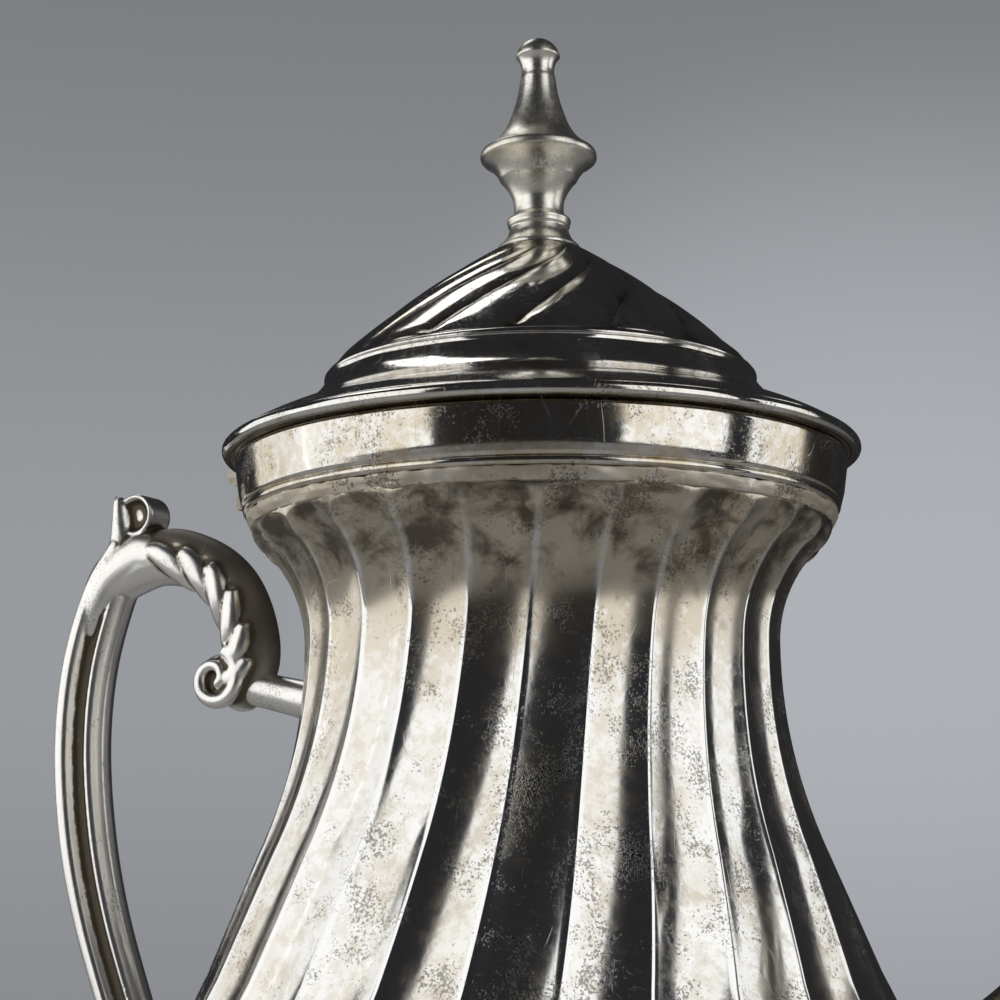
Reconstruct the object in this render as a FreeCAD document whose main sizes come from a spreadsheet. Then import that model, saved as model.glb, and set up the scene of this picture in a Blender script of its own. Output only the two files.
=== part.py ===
"""Swirl-fluted coffee pot with a hinged lid, a cast C-scroll handle and a swan-neck spout.

Millimetres. The origin is the centre of the foot on the table, +Z is up, the spout points along +X
and the handle along -X. Every size comes from the spreadsheet called Sizes.
"""
import FreeCAD, Part
import math
import os
import Sketcher
from FreeCAD import Placement, Rotation, Vector

doc = FreeCAD.newDocument("coffee_pot")
sheet = doc.addObject("Spreadsheet::Sheet", "Sizes")
parts = []

# Driving dimensions: alias, value in mm (or degrees), what it is
SIZES = [
    ("wall", 1.0, "sheet thickness of body, lid and foot"),
    ("wire_rad", 0.6, "radius of the fine half-round wires"),
    ("gap_run", 0.05, "radial clearance of the hinge pin"),
    # body outline, from the foot joint up to the collar
    ("base_rad", 22.0, "body radius where it meets the foot"),
    ("base_ht", 26.4, "height of the body's underside"),
    ("belly_rad", 59.2, "largest body radius"),
    ("belly_ht", 77.0, "height of the largest radius"),
    ("flank_rad", 47.4, "body radius where belly turns into neck"),
    ("flank_ht", 125.7, "height of that change"),
    ("throat_rad", 40.8, "body radius half way up the neck"),
    ("throat_ht", 142.0, "height half way up the neck"),
    ("neck_rad", 34.5, "smallest neck radius"),
    ("neck_ht", 171.5, "height of the smallest radius"),
    ("turn_rad", 39.7, "radius where the neck turns out to the shoulder"),
    ("turn_ht", 184.8, "height of that turn"),
    ("lip_rad", 42.5, "radius of the body's upper edge"),
    ("lip_low", 189.4, "height where the upper edge starts"),
    ("lip_ht", 191.9, "height of the upper edge"),
    ("bowl_bend", 53.0, "outline radius of the bowl"),
    ("belly_bend", 108.0, "outline radius above the belly"),
    ("throat_bend", 72.0, "outline radius on the lower neck"),
    ("neck_bend", 18.8, "outline radius on the upper neck"),
    ("shoulder_bend", 5.2, "outline radius of the shoulder"),
    # collar, solder band and wire
    ("collar_low", 191.9, "lower edge of the collar"),
    ("collar_wall", 1.6, "thickness of the collar"),
    ("collar_top", 198.9, "upper edge of the collar"),
    ("collar_foot_rad", 43.8, "collar radius at its lower edge"),
    ("collar_rim_rad", 45.0, "collar radius at its upper edge"),
    ("solder_low", 188.9, "lower edge of the solder band"),
    # foot
    ("foot_rim_rad", 43.8, "outer radius of the foot"),
    ("foot_rim_ht", 2.4, "height of the foot's rim wire"),
    ("foot_crease_rad", 31.5, "foot radius at the crease"),
    ("foot_crease_ht", 11.0, "height of the crease"),
    ("foot_turn_rad", 37.0, "foot radius where the ogee turns"),
    ("foot_turn_ht", 7.2, "height where the ogee turns"),
    ("foot_neck_rad", 20.0, "foot radius under the joint ring"),
    ("foot_neck_ht", 24.2, "height of the foot's upper edge"),
    ("foot_trumpet_bend", 17.0, "outline radius of the foot's trumpet"),
    ("foot_ogee_bend", 12.0, "outline radius of each half of the foot's ogee"),
    ("ring_thick", 2.2, "height of the ring between foot and body"),
    # lid
    ("lid_rim_bend", 0.8, "roundness of the lid's rim"),
    ("lid_rim_top", 200.05, "upper side of the lid's rim ring"),
    ("lid_low", 199.2, "underside of the lid's rim"),
    ("lid_edge_rad", 46.4, "lid sheet radius at the rim"),
    ("lid_edge_ht", 200.9, "lid sheet height at the rim"),
    ("ogee_rad", 38.2, "radius where the lid's ogee turns"),
    ("ogee_ht", 204.9, "height where the ogee turns"),
    ("crease_rad", 31.8, "radius of the crease under the dome"),
    ("crease_ht", 211.2, "height of the crease under the dome"),
    ("haunch_rad", 29.5, "dome radius at the haunch"),
    ("haunch_ht", 214.4, "height of the haunch"),
    ("seat_rad", 6.2, "radius of the flat seat of the finial"),
    ("seat_ht", 232.0, "height of the finial's seat"),
    ("edge_bend", 40.0, "outline radius of the ogee's round half"),
    ("cove_bend", 12.0, "outline radius of the ogee's hollow half"),
    ("haunch_bend", 8.0, "outline radius of the haunch"),
    ("dome_bend", 142.0, "outline radius of the dome"),
    ("bezel_rad", 42.2, "outer radius of the locating bezel"),
    ("bezel_deep", 4.2, "depth of the bezel below the lid's rim"),
    # finial and what holds it
    ("fin_base_rad", 6.1, "finial radius on the lid"),
    ("fin_ring_rad", 4.4, "radius of the small ring"),
    ("fin_ring_ht", 235.6, "height of the small ring"),
    ("fin_waist_rad", 3.6, "radius of the waist"),
    ("fin_waist_ht", 238.6, "height of the waist"),
    ("fin_disc_rad", 8.85, "radius of the disc"),
    ("fin_disc_ht", 246.8, "height of the disc's edge"),
    ("fin_stem_rad", 2.7, "radius of the stem"),
    ("fin_stem_ht", 259.4, "height of the thinnest part of the stem"),
    ("fin_tip_rad", 3.4, "radius of the tip"),
    ("fin_tip_ht", 262.9, "height of the tip's widest part"),
    ("fin_crown_rad", 1.6, "radius of the flat on top of the tip"),
    ("fin_top_ht", 265.4, "top of the finial"),
    ("fin_flare_bend", 4.0, "outline radius of the finial's foot"),
    ("fin_cup_bend", 13.0, "outline radius under the disc"),
    ("fin_spire_bend", 15.0, "outline radius above the disc"),
    ("stud_rad", 1.5, "radius of the finial's stud"),
    ("stud_low", 223.0, "lower end of the stud"),
    ("washer_rad", 5.0, "radius of the washer"),
    ("washer_thick", 0.8, "thickness of the washer"),
    ("nut_flats", 6.0, "nut width across flats"),
    ("nut_thick", 2.4, "thickness of the nut"),
    # hinge
    ("hinge_out", 50.5, "distance of the hinge axis from the pot's axis"),
    ("hinge_ht", 201.2, "height of the hinge axis"),
    ("barrel_rad", 1.7, "radius of the knuckles"),
    ("pin_rad", 0.7, "radius of the hinge pin"),
    ("leaf_half", 6.4, "half the length of the barrel"),
    ("knuckle_half", 3.4, "half the length of the lid's knuckle"),
    ("slot_half", 3.55, "half the gap between the pot's knuckles"),
    ("plate_in", 44.0, "inner distance of the leaf on the collar"),
    ("plate_out", 50.2, "outer distance of the leaf on the collar"),
    ("riser_in", 48.5, "inner distance of the leaf's upright"),
    ("plate_low", 195.6, "lower edge of the leaf on the collar"),
    ("plate_top", 198.6, "upper edge of the leaf on the collar"),
    ("strap_in", 44.2, "inner distance of the lid's leaf"),
    ("strap_top", 202.7, "upper face of the lid's leaf"),
    ("zero_out", 0.0, "pot axis"),
    ("far_out", 60.0, "distance outside the hinge"),
    ("far_up", 210.0, "height above the hinge"),
    # spout
    ("spout_wall", 1.2, "thickness of the spout"),
    ("strainer_rad", 1.6, "radius of a strainer hole"),
    ("strainer_pitch", 4.8, "spacing of the rings of strainer holes"),
    ("strainer_ht", 99.0, "height of the middle strainer hole"),
    # handle
    ("grip_wide", 4.3, "half the handle's width"),
    ("scroll_rad", 4.6, "radius of the volute"),
    ("thumb_rad", 3.4, "radius of the thumb scroll"),
]
for row, (alias, size, meaning) in enumerate(SIZES, start=1):
    sheet.set("A%d" % row, meaning)
    sheet.set("B%d" % row, str(size))
    sheet.setAlias("B%d" % row, alias)
doc.recompute()


def size(words):
    """Value of a sum such as "neck_rad - wall", read from the sheet."""
    total = 0.0
    sign = 1.0
    for word in words.split():
        if word in "+-":
            sign = 1.0 if word == "+" else -1.0
        else:
            total += sign * sheet.get(word)
    return total


def bound(words):
    """The same sum as an expression that FreeCAD evaluates."""
    return " ".join(word if word in "+-" else "Sizes." + word for word in words.split())


def named(thing, label):
    """Give a finished sub-part its label and keep it for export."""
    thing.Label = label
    parts.append(thing)
    return thing


def bind(thing, **sizes):
    """Bind properties of a document object to sums of sheet cells."""
    for prop, words in sizes.items():
        thing.setExpression(prop.replace("__", "."), bound(words))
    return thing


def arc_middle(start, end, bend):
    """Middle point of an arc of radius |bend|; a positive bend turns left on the way to the end."""
    chord = end - start
    half = chord.Length / 2.0
    rise = abs(bend) - math.sqrt(bend * bend - half * half)
    side = Vector(chord.y, -chord.x, 0).normalize() * math.copysign(rise, bend)
    return (start + end) / 2.0 + side


def outline(name, corners, closed=True):
    """Sketch in the XZ plane through corners (radius, height[, bend]) whose sizes are bound to the sheet.

    A corner's bend is the radius of the arc that leads to it, with a minus sign for the other side.
    """
    sketch = doc.addObject("Sketcher::SketchObject", name)
    sketch.Placement = Placement(Vector(0, 0, 0), Rotation(Vector(1, 0, 0), 90))
    spots = [Vector(size(c[0]) if c[0] else 0.0, size(c[1]) if c[1] else 0.0, 0) for c in corners]
    count = len(corners) if closed else len(corners) - 1
    ends = []
    for i in range(count):
        a, b = spots[i], spots[(i + 1) % len(spots)]
        goal = corners[(i + 1) % len(corners)]
        if len(goal) > 2:
            bend = size(goal[2].lstrip("-"))
            middle = arc_middle(a, b, -bend if goal[2].startswith("-") else bend)
            edge = sketch.addGeometry(Part.Arc(a, middle, b), False)
            sketch.addConstraint(Sketcher.Constraint("Radius", edge, bend))
            newest = "Constraints[%d]" % (sketch.ConstraintCount - 1)
            sketch.setExpression(newest, bound(goal[2].lstrip("-")))
        else:
            edge = sketch.addGeometry(Part.LineSegment(a, b), False)
        forward = (sketch.getPoint(edge, 1) - a).Length < 1e-6
        ends.append((edge, 1 if forward else 2, 2 if forward else 1))
    for i in range(count if closed else count - 1):
        here, there = ends[i], ends[(i + 1) % count]
        sketch.addConstraint(Sketcher.Constraint("Coincident", here[0], here[2], there[0], there[1]))
    for i, corner in enumerate(corners):
        edge, point = (ends[i][0], ends[i][1]) if i < count else (ends[-1][0], ends[-1][2])
        along_x = ("DistanceX", corner[0], spots[i].x)
        along_y = ("DistanceY", corner[1], spots[i].y)
        for kind, words, place in (along_x, along_y):
            if words:
                sketch.addConstraint(Sketcher.Constraint(kind, -1, 1, edge, point, place))
                sketch.setExpression("Constraints[%d]" % (sketch.ConstraintCount - 1), bound(words))
            else:
                axis = -2 if kind == "DistanceX" else -1
                sketch.addConstraint(Sketcher.Constraint("PointOnObject", edge, point, axis))
    return sketch


def turned(name, source):
    """Solid of revolution of a sketch or flat face about the pot's axis."""
    solid = doc.addObject("Part::Revolution", name)
    solid.Source = source
    solid.Axis = Vector(0, 0, 1)
    solid.Base = Vector(0, 0, 0)
    solid.Angle = 360
    solid.Solid = True
    return solid


def spun(name, corners, side):
    """Spun sheet: an open outline thickened by the wall on one side (+1 or -1) and turned."""
    sketch = outline(name + "_outline", corners, closed=False)
    face = doc.addObject("Part::Offset2D", name + "_section")
    face.Source = sketch
    face.Mode = "Skin"
    face.Join = "Arc"
    face.Fill = True
    face.setExpression("Value", ("-" if side < 0 else "") + "Sizes.wall")
    return turned(name, face)


def ring(name, major, minor, height):
    """Round wire bent into a ring about the pot's axis."""
    torus = doc.addObject("Part::Torus", name)
    return bind(torus, Radius1=major, Radius2=minor, Placement__Base__z=height)


def drilled(name, solid, radius):
    """Solid bored along the pot's axis, up to where the finial's stud ends."""
    drill = doc.addObject("Part::Cylinder", name + "_drill")
    bind(drill, Radius=radius, Height="seat_ht + fin_base_rad")
    cut = doc.addObject("Part::Cut", name)
    cut.Base = solid
    cut.Tool = drill
    return cut


def fused(name, *pieces):
    """Union of several solids."""
    union = doc.addObject("Part::MultiFuse", name)
    union.Shapes = list(pieces)
    return union


def minus(name, solid, *tools):
    """Solid with one or more others cut away."""
    for count, tool in enumerate(tools):
        cut = doc.addObject("Part::Cut", "%s_cut_%d" % (name, count))
        cut.Base = solid
        cut.Tool = tool
        solid = cut
    return solid


# ---------------------------------------------------------------- body
# One vessel, closed at the bottom; its upper edge stands in the collar's foot.
BODY_OUTLINE = [
    ("", "base_ht"),
    ("base_rad", "base_ht"),
    ("belly_rad", "belly_ht", "bowl_bend"),
    ("flank_rad", "flank_ht", "belly_bend"),
    ("throat_rad", "throat_ht"),
    ("neck_rad", "neck_ht", "-throat_bend"),
    ("turn_rad", "turn_ht", "-neck_bend"),
    ("lip_rad", "lip_low", "shoulder_bend"),
    ("lip_rad", "lip_ht"),
]
body_sheet = spun("body_turned", BODY_OUTLINE, +1)

# Strainer: a middle hole and two rings of holes through the wall behind the spout.
holes = []
for count, step in ((1, 0), (6, 1), (12, 2)):
    for index in range(count):
        turn = 2.0 * math.pi * index / count
        hole = doc.addObject("Part::Cylinder", "strainer_hole")
        hole.Height = 30.0
        hole.Placement = Placement(Vector(40, 0, 0), Rotation(Vector(0, 1, 0), 90))
        hole.setExpression("Radius", "Sizes.strainer_rad")
        hole.setExpression("Placement.Base.y", "%d * Sizes.strainer_pitch * %.6f" % (step, math.sin(turn)))
        rise = "%d * Sizes.strainer_pitch * %.6f" % (step, math.cos(turn))
        hole.setExpression("Placement.Base.z", "Sizes.strainer_ht + " + rise)
        holes.append(hole)
strainer = doc.addObject("Part::Compound", "strainer_holes")
strainer.Links = holes
named(minus("body_cut", body_sheet, strainer), "body_shell")

# ---------------------------------------------------------------- collar
named(turned("collar_turned", outline("collar_outline", [
    ("collar_foot_rad - collar_wall", "collar_low"),
    ("collar_foot_rad", "collar_low"),
    ("collar_rim_rad", "collar_top"),
    ("collar_rim_rad - collar_wall", "collar_top"),
])), "neck_collar")

# Half-round wire under the collar, and the band of solder between it and the body.
wire_bore = doc.addObject("Part::Cylinder", "wire_bore")
wire_bore.Height = 300.0
bind(wire_bore, Radius="lip_rad")
collar_wire = doc.addObject("Part::Cut", "collar_wire_cut")
collar_wire.Base = ring("collar_wire_ring", "lip_rad + wire_rad", "wire_rad", "lip_ht - wire_rad")
collar_wire.Tool = wire_bore
named(collar_wire, "collar_wire")
named(turned("solder_turned", outline("solder_outline", [
    ("lip_rad", "solder_low"),
    ("lip_rad + wire_rad", "lip_ht - wire_rad - wire_rad"),
    ("lip_rad", "lip_ht - wire_rad - wire_rad"),
])), "solder_band")

# ---------------------------------------------------------------- foot
named(spun("foot_turned", [
    ("foot_rim_rad - wall", "wall"),
    ("foot_turn_rad", "foot_turn_ht", "foot_ogee_bend"),
    ("foot_crease_rad", "foot_crease_ht", "-foot_ogee_bend"),
    ("foot_neck_rad", "foot_neck_ht", "-foot_trumpet_bend"),
], +1), "foot_shell")
foot_wire = doc.addObject("Part::Cut", "foot_wire_cut")
foot_wire.Tool = parts[-1]
foot_wire.Base = turned("foot_wire_turned", outline("foot_wire_outline", [
    ("foot_rim_rad - foot_rim_ht", ""),
    ("foot_rim_rad - wire_rad", ""),
    ("foot_rim_rad - wire_rad", "foot_rim_ht", "foot_rim_ht"),
    ("foot_rim_rad - foot_rim_ht", "foot_rim_ht"),
]))
named(foot_wire, "foot_rim_wire")
named(turned("foot_ring_turned", outline("foot_ring_outline", [
    ("foot_neck_rad - wall", "foot_neck_ht"),
    ("base_rad", "foot_neck_ht"),
    ("base_rad", "base_ht", "ring_thick"),
    ("foot_neck_rad - wall", "base_ht"),
])), "foot_joint_ring")

# ---------------------------------------------------------------- lid
named(spun("lid_turned", [
    ("stud_rad", "seat_ht"),
    ("seat_rad", "seat_ht"),
    ("haunch_rad", "haunch_ht", "-dome_bend"),
    ("crease_rad", "crease_ht", "-haunch_bend"),
    ("ogee_rad", "ogee_ht", "cove_bend"),
    ("lid_edge_rad", "lid_edge_ht", "-edge_bend"),
], -1), "lid_dome")
lid_rim = doc.addObject("Part::Cut", "lid_rim_cut")
lid_rim.Tool = parts[-1]
lid_rim.Base = turned("lid_rim_turned", outline("lid_rim_outline", [
    ("bezel_rad - wall", "lid_low"),
    ("lid_edge_rad", "lid_low"),
    ("lid_edge_rad", "lid_rim_top", "lid_rim_bend"),
    ("bezel_rad - wall", "lid_rim_top"),
]))
named(lid_rim, "lid_rim")
named(turned("bezel_turned", outline("bezel_outline", [
    ("bezel_rad - wall", "lid_low - bezel_deep"),
    ("bezel_rad", "lid_low - bezel_deep"),
    ("bezel_rad", "lid_low"),
    ("bezel_rad - wall", "lid_low"),
])), "lid_bezel")
named(drilled("finial_bored", turned("finial_turned", outline("finial_outline", [
    ("", "seat_ht"),
    ("fin_base_rad", "seat_ht"),
    ("fin_ring_rad", "fin_ring_ht - wire_rad", "-fin_flare_bend"),
    ("fin_ring_rad", "fin_ring_ht + wire_rad", "wall"),
    ("fin_waist_rad", "fin_waist_ht"),
    ("fin_disc_rad", "fin_disc_ht - wire_rad", "-fin_cup_bend"),
    ("fin_disc_rad", "fin_disc_ht + wire_rad", "wall"),
    ("fin_stem_rad", "fin_stem_ht", "-fin_spire_bend"),
    ("fin_tip_rad", "fin_tip_ht", "-fin_tip_rad"),
    ("fin_crown_rad", "fin_top_ht", "fin_tip_rad"),
    ("", "fin_top_ht"),
])), "stud_rad"), "finial")

# Stud, washer and nut under the dome hold the finial.
stud = doc.addObject("Part::Cylinder", "stud")
bind(stud, Radius="stud_rad", Height="seat_ht + fin_base_rad - stud_low", Placement__Base__z="stud_low")
named(stud, "finial_stud")
washer = doc.addObject("Part::Cylinder", "washer_blank")
bind(washer, Radius="washer_rad", Height="washer_thick",
     Placement__Base__z="seat_ht - wall - washer_thick")
named(drilled("washer", washer, "stud_rad"), "finial_washer")
nut = doc.addObject("Part::Prism", "nut_blank")
nut.Polygon = 6
nut.setExpression("Circumradius", "Sizes.nut_flats / sqrt(3)")
bind(nut, Height="nut_thick", Placement__Base__z="seat_ht - wall - washer_thick - nut_thick")
named(drilled("nut", nut, "stud_rad"), "finial_nut")


# ---------------------------------------------------------------- hinge
def across(name, radius, half):
    """Cylinder along Y on the hinge axis, centred on the pot's middle plane."""
    cylinder = doc.addObject("Part::Cylinder", name)
    cylinder.Placement = Placement(Vector(0, 0, 0), Rotation(Vector(1, 0, 0), 90))
    bind(cylinder, Radius=radius, Height=half + " + " + half, Placement__Base__y=half,
         Placement__Base__z="hinge_ht")
    cylinder.setExpression("Placement.Base.x", "-Sizes.hinge_out")
    return cylinder


def strap(name, near, far, low, high, half):
    """Plate between two distances on the handle side, two heights and +-half along Y."""
    plate = doc.addObject("Part::Box", name)
    bind(plate, Length="%s - %s" % (far, near), Width=half + " + " + half, Height="%s - %s" % (high, low),
         Placement__Base__z=low)
    plate.setExpression("Placement.Base.x", "-Sizes." + far)
    plate.setExpression("Placement.Base.y", "-Sizes." + half)
    return plate


named(across("pin", "pin_rad", "leaf_half"), "hinge_pin")
collar_plug = doc.addObject("Part::Cone", "collar_plug")
bind(collar_plug, Radius1="collar_foot_rad", Radius2="collar_rim_rad", Height="collar_top - collar_low",
     Placement__Base__z="collar_low")
middle_slot = strap("middle_slot", "zero_out", "far_out", "collar_low", "far_up", "slot_half")
body_leaf = fused("body_leaf_raw",
                  across("body_barrel", "barrel_rad", "leaf_half"),
                  strap("body_plate", "plate_in", "plate_out", "plate_low", "plate_top", "leaf_half"),
                  strap("body_riser", "riser_in", "plate_out", "plate_low", "hinge_ht", "leaf_half"))
named(minus("body_leaf", body_leaf, collar_plug, middle_slot, across("pin_seat", "pin_rad", "leaf_half")),
      "hinge_body_leaf")
lid_plug = turned("lid_plug", outline("lid_plug_outline", [
    ("", "lid_low"),
    ("lid_edge_rad", "lid_low"),
    ("lid_edge_rad", "lid_edge_ht"),
    ("ogee_rad", "ogee_ht", "edge_bend"),
    ("", "ogee_ht"),
]))
lid_leaf = fused("lid_leaf_raw",
                 across("lid_barrel", "barrel_rad", "knuckle_half"),
                 strap("lid_strap", "strap_in", "hinge_out", "hinge_ht", "strap_top", "knuckle_half"))
named(minus("lid_leaf", lid_leaf, lid_plug, across("pin_bore", "pin_rad + gap_run", "leaf_half")),
      "hinge_lid_leaf")


# ---------------------------------------------------------------- spout and handle
# Stations along a curved middle line: distance out, height, half thickness in the middle plane, half width.
STATIONS = {
    "spout": [(44.0, 92.0, 20.0, 16.0), (56.0, 102.5, 15.8, 13.6), (70.0, 115.5, 11.0, 10.5),
              (82.0, 130.5, 8.6, 8.3), (88.5, 146.0, 7.3, 7.0), (93.0, 162.0, 6.5, 6.3),
              (101.5, 178.5, 6.6, 6.4)],
    "grip": [(75.5, 191.0, 3.3, 4.0), (79.6, 184.5, 3.7, 4.2), (83.2, 173.0, 3.9, 4.3),
             (84.2, 160.0, 3.9, 4.4), (82.7, 146.0, 3.9, 4.4), (79.4, 133.0, 3.8, 4.3),
             (74.2, 119.6, 3.7, 4.2), (68.0, 105.5, 3.6, 4.0), (61.0, 90.0, 3.9, 4.3)],
    "arch": [(77.5, 187.0, 3.4, 3.9), (69.5, 190.2, 4.8, 4.6), (61.5, 188.8, 4.6, 4.8),
             (55.2, 184.6, 4.5, 5.0), (51.5, 178.0, 4.6, 5.0), (50.6, 171.5, 4.6, 4.8),
             (54.0, 165.6, 2.6, 4.4)],
    "thumb": [(76.0, 188.5, 3.0, 4.0), (74.9, 194.5, 2.6, 3.7), (74.3, 199.0, 3.0, 4.3)],
    "socket": [(52.5, 168.6, 2.9, 2.7), (43.0, 166.4, 3.0, 2.8), (33.0, 164.0, 3.7, 3.5)],
    "pad": [(56.5, 85.5, 6.8, 6.4), (61.6, 91.2, 5.2, 5.0)],
}
FIELDS = ("out", "ht", "thick", "wide")
row = len(SIZES)
for path, stations in STATIONS.items():
    for number, station in enumerate(stations):
        for field, value in zip(FIELDS, station):
            row += 1
            sheet.set("A%d" % row, "%s station %d, %s" % (path, number, field))
            sheet.set("B%d" % row, str(value))
            sheet.setAlias("B%d" % row, "%s_%s_%d" % (path, field, number))
doc.recompute()


def stations(path):
    """Stations of a path, read back from the sheet."""
    count = len(STATIONS[path])
    return [[sheet.get("%s_%s_%d" % (path, field, number)) for field in FIELDS] for number in range(count)]


def oval(centre, along, thick, wide):
    """Closed oval wire square to a direction in the XZ plane."""
    across_path = Vector(-along.z, 0, along.x)
    frame = FreeCAD.Matrix(across_path.x * thick, 0, along.x, centre.x,
                           0, wide, 0, 0,
                           across_path.z * thick, 0, along.z, centre.z,
                           0, 0, 0, 1)
    return Part.Wire([Part.makeCircle(1.0)]).transformGeometry(frame)


def limb(path, side=1.0, thinner=0.0, extra=0.0):
    """Smooth tapering limb through a path's stations, on the spout side (+1) or the handle side (-1)."""
    rows = stations(path)
    spots = [Vector(side * r[0], 0, r[1]) for r in rows]
    wires = []
    for i, spot in enumerate(spots):
        along = (spots[min(i + 1, len(spots) - 1)] - spots[max(i - 1, 0)]).normalize()
        if extra and i in (0, len(spots) - 1):
            spot = spot + along * (extra if i else -extra)
        wires.append(oval(spot, along, rows[i][2] - thinner, rows[i][3] - thinner))
    return Part.makeLoft(wires, True, False)


def roller(out, height, radius, half):
    """Cylinder along Y on the handle side."""
    return Part.makeCylinder(radius, 2.0 * half, Vector(-out, -half, height), Vector(0, 1, 0))


def cast(name, shape):
    """Document object for a cast or hollow-formed shape made of lofts."""
    feature = doc.addObject("Part::Feature", name)
    feature.Shape = shape
    feature.Placement = Placement()
    return feature


body_solid = turned("body_solid", outline("body_solid_outline", BODY_OUTLINE + [("", "lip_ht")]))
doc.recompute()
vessel = body_solid.Shape

spout_hollow = limb("spout", thinner=sheet.get("spout_wall"), extra=1.0)
named(cast("spout_cast", limb("spout").cut(spout_hollow).cut(vessel)), "spout")

grip = limb("grip", side=-1.0)
arch = limb("arch", side=-1.0)
thumb = limb("thumb", side=-1.0)
volute = roller(55.6, 169.4, sheet.get("scroll_rad"), sheet.get("grip_wide"))
thumb_scroll = roller(sheet.get("thumb_out_2"), sheet.get("thumb_ht_2"), sheet.get("thumb_rad"), sheet.get("grip_wide"))
handle = grip.fuse([arch, thumb, volute, thumb_scroll]).cut(vessel)
pad = limb("pad", side=-1.0).cut(vessel)
handle = handle.cut(pad)
named(cast("handle_cast", handle), "handle")
named(cast("socket_cast", limb("socket", side=-1.0).cut(vessel).cut(handle)), "handle_upper_socket")
named(cast("pad_cast", pad), "handle_lower_pad")

# ---------------------------------------------------------------- checks and export
doc.recompute()
faults = [thing.Name for thing in doc.Objects if "Invalid" in thing.State or "Error" in thing.State]
if faults:
    raise RuntimeError("objects failed: " + ", ".join(faults))
os.makedirs("parts", exist_ok=True)
for part in parts:
    shape = part.Shape
    if shape.isNull() or not shape.isValid() or not shape.Solids:
        raise RuntimeError("bad shape: " + part.Label)
    print("%-22s solids %d  volume %9.1f mm3" % (part.Label, len(shape.Solids), shape.Volume))
for part in parts:
    part.Shape.exportStep(os.path.join("parts", part.Label + ".step"))
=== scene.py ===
"""Swirl-fluted, silver-plated coffee pot: its visible metal, its finishes, the studio and the camera."""

import enum
import logging
import math
from collections.abc import Callable, Sequence
from dataclasses import dataclass

import bmesh
import bpy
import numpy as np
from mathutils import Matrix, Vector

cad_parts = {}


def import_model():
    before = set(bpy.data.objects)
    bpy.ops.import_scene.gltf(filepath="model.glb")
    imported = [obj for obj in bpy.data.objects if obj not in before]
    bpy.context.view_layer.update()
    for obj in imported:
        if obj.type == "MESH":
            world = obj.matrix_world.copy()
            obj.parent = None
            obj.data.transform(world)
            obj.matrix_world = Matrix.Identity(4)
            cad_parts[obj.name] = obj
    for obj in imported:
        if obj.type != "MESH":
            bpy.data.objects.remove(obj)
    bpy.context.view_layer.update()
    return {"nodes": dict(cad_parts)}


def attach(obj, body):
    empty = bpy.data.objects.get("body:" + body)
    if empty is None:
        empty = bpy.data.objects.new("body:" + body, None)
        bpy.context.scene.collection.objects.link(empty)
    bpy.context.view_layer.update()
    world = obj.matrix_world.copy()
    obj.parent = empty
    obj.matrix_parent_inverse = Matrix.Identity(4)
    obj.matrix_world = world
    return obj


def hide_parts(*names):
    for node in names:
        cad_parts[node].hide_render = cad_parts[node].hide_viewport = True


LOG = logging.getLogger("coffee_pot")
MM = 0.001
Corner = tuple[float, ...]
Colour = tuple[float, float, float]


class Side(enum.Enum):
    """Which side of the pot a limb stands on."""

    SPOUT = 1.0
    HANDLE = -1.0


class Fade(enum.Enum):
    """How a mask changes over its range."""

    LINEAR = "LINEAR"
    SMOOTH = "SMOOTHSTEP"


# ---------------------------------------------------------------- shape helpers
def smooth_step(low: float, high: float, value: np.ndarray) -> np.ndarray:
    """Smooth rise from 0 at low to 1 at high.

    Args:
        low: value where the rise starts.
        high: value where the rise ends.
        value: numbers to map.

    Returns:
        The mapped numbers, from 0 to 1.
    """
    t = np.clip((np.asarray(value, float) - low) / (high - low), 0.0, 1.0)
    return t * t * (3.0 - 2.0 * t)


@dataclass(frozen=True)
class Outline:
    """Half outline of a turned piece, in millimetres.

    Each corner is (radius, height) or (radius, height, bend); the bend is the radius of the arc that reaches
    the corner, positive where the arc turns left.
    """

    corners: tuple[Corner, ...]

    def points(self, pitch: Callable[[float], float] | float) -> np.ndarray:
        """Points along the outline.

        Args:
            pitch: spacing of the points in millimetres, or a function that gives it from the height.

        Returns:
            An array of (radius, height) rows, in millimetres.
        """
        spots = [np.array(self.corners[0][:2], float)]
        for before, corner in zip(self.corners, self.corners[1:]):
            start, end = np.array(before[:2], float), np.array(corner[:2], float)
            chord = end - start
            length = float(np.hypot(*chord))
            gap = pitch((start[1] + end[1]) / 2.0) if callable(pitch) else pitch
            count = max(1, math.ceil(length / gap))
            if len(corner) == 2:
                spots += [start + chord * (i + 1) / count for i in range(count)]
                continue
            bend = corner[2]
            count = max(count, 3)
            normal = np.array([chord[1], -chord[0]]) / length
            reach = math.sqrt(bend * bend - length * length / 4.0)
            centre = (start + end) / 2.0 - normal * math.copysign(reach, bend)
            a, b = (math.atan2(*(p - centre)[::-1]) for p in (start, end))
            sweep = (b - a + math.pi) % (2.0 * math.pi) - math.pi
            for i in range(count):
                angle = a + sweep * (i + 1) / count
                spots.append(centre + abs(bend) * np.array([math.cos(angle), math.sin(angle)]))
        return np.array(spots)


def outline_normals(points: np.ndarray) -> np.ndarray:
    """Unit normals on the right-hand side of a line of points.

    Args:
        points: rows of (radius, height).

    Returns:
        Rows of (radius, height) parts of the unit normals.
    """
    along = np.gradient(points, axis=0)
    normal = np.stack([-along[:, 1], along[:, 0]], axis=1)
    return normal / np.linalg.norm(normal, axis=1, keepdims=True)


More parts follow.
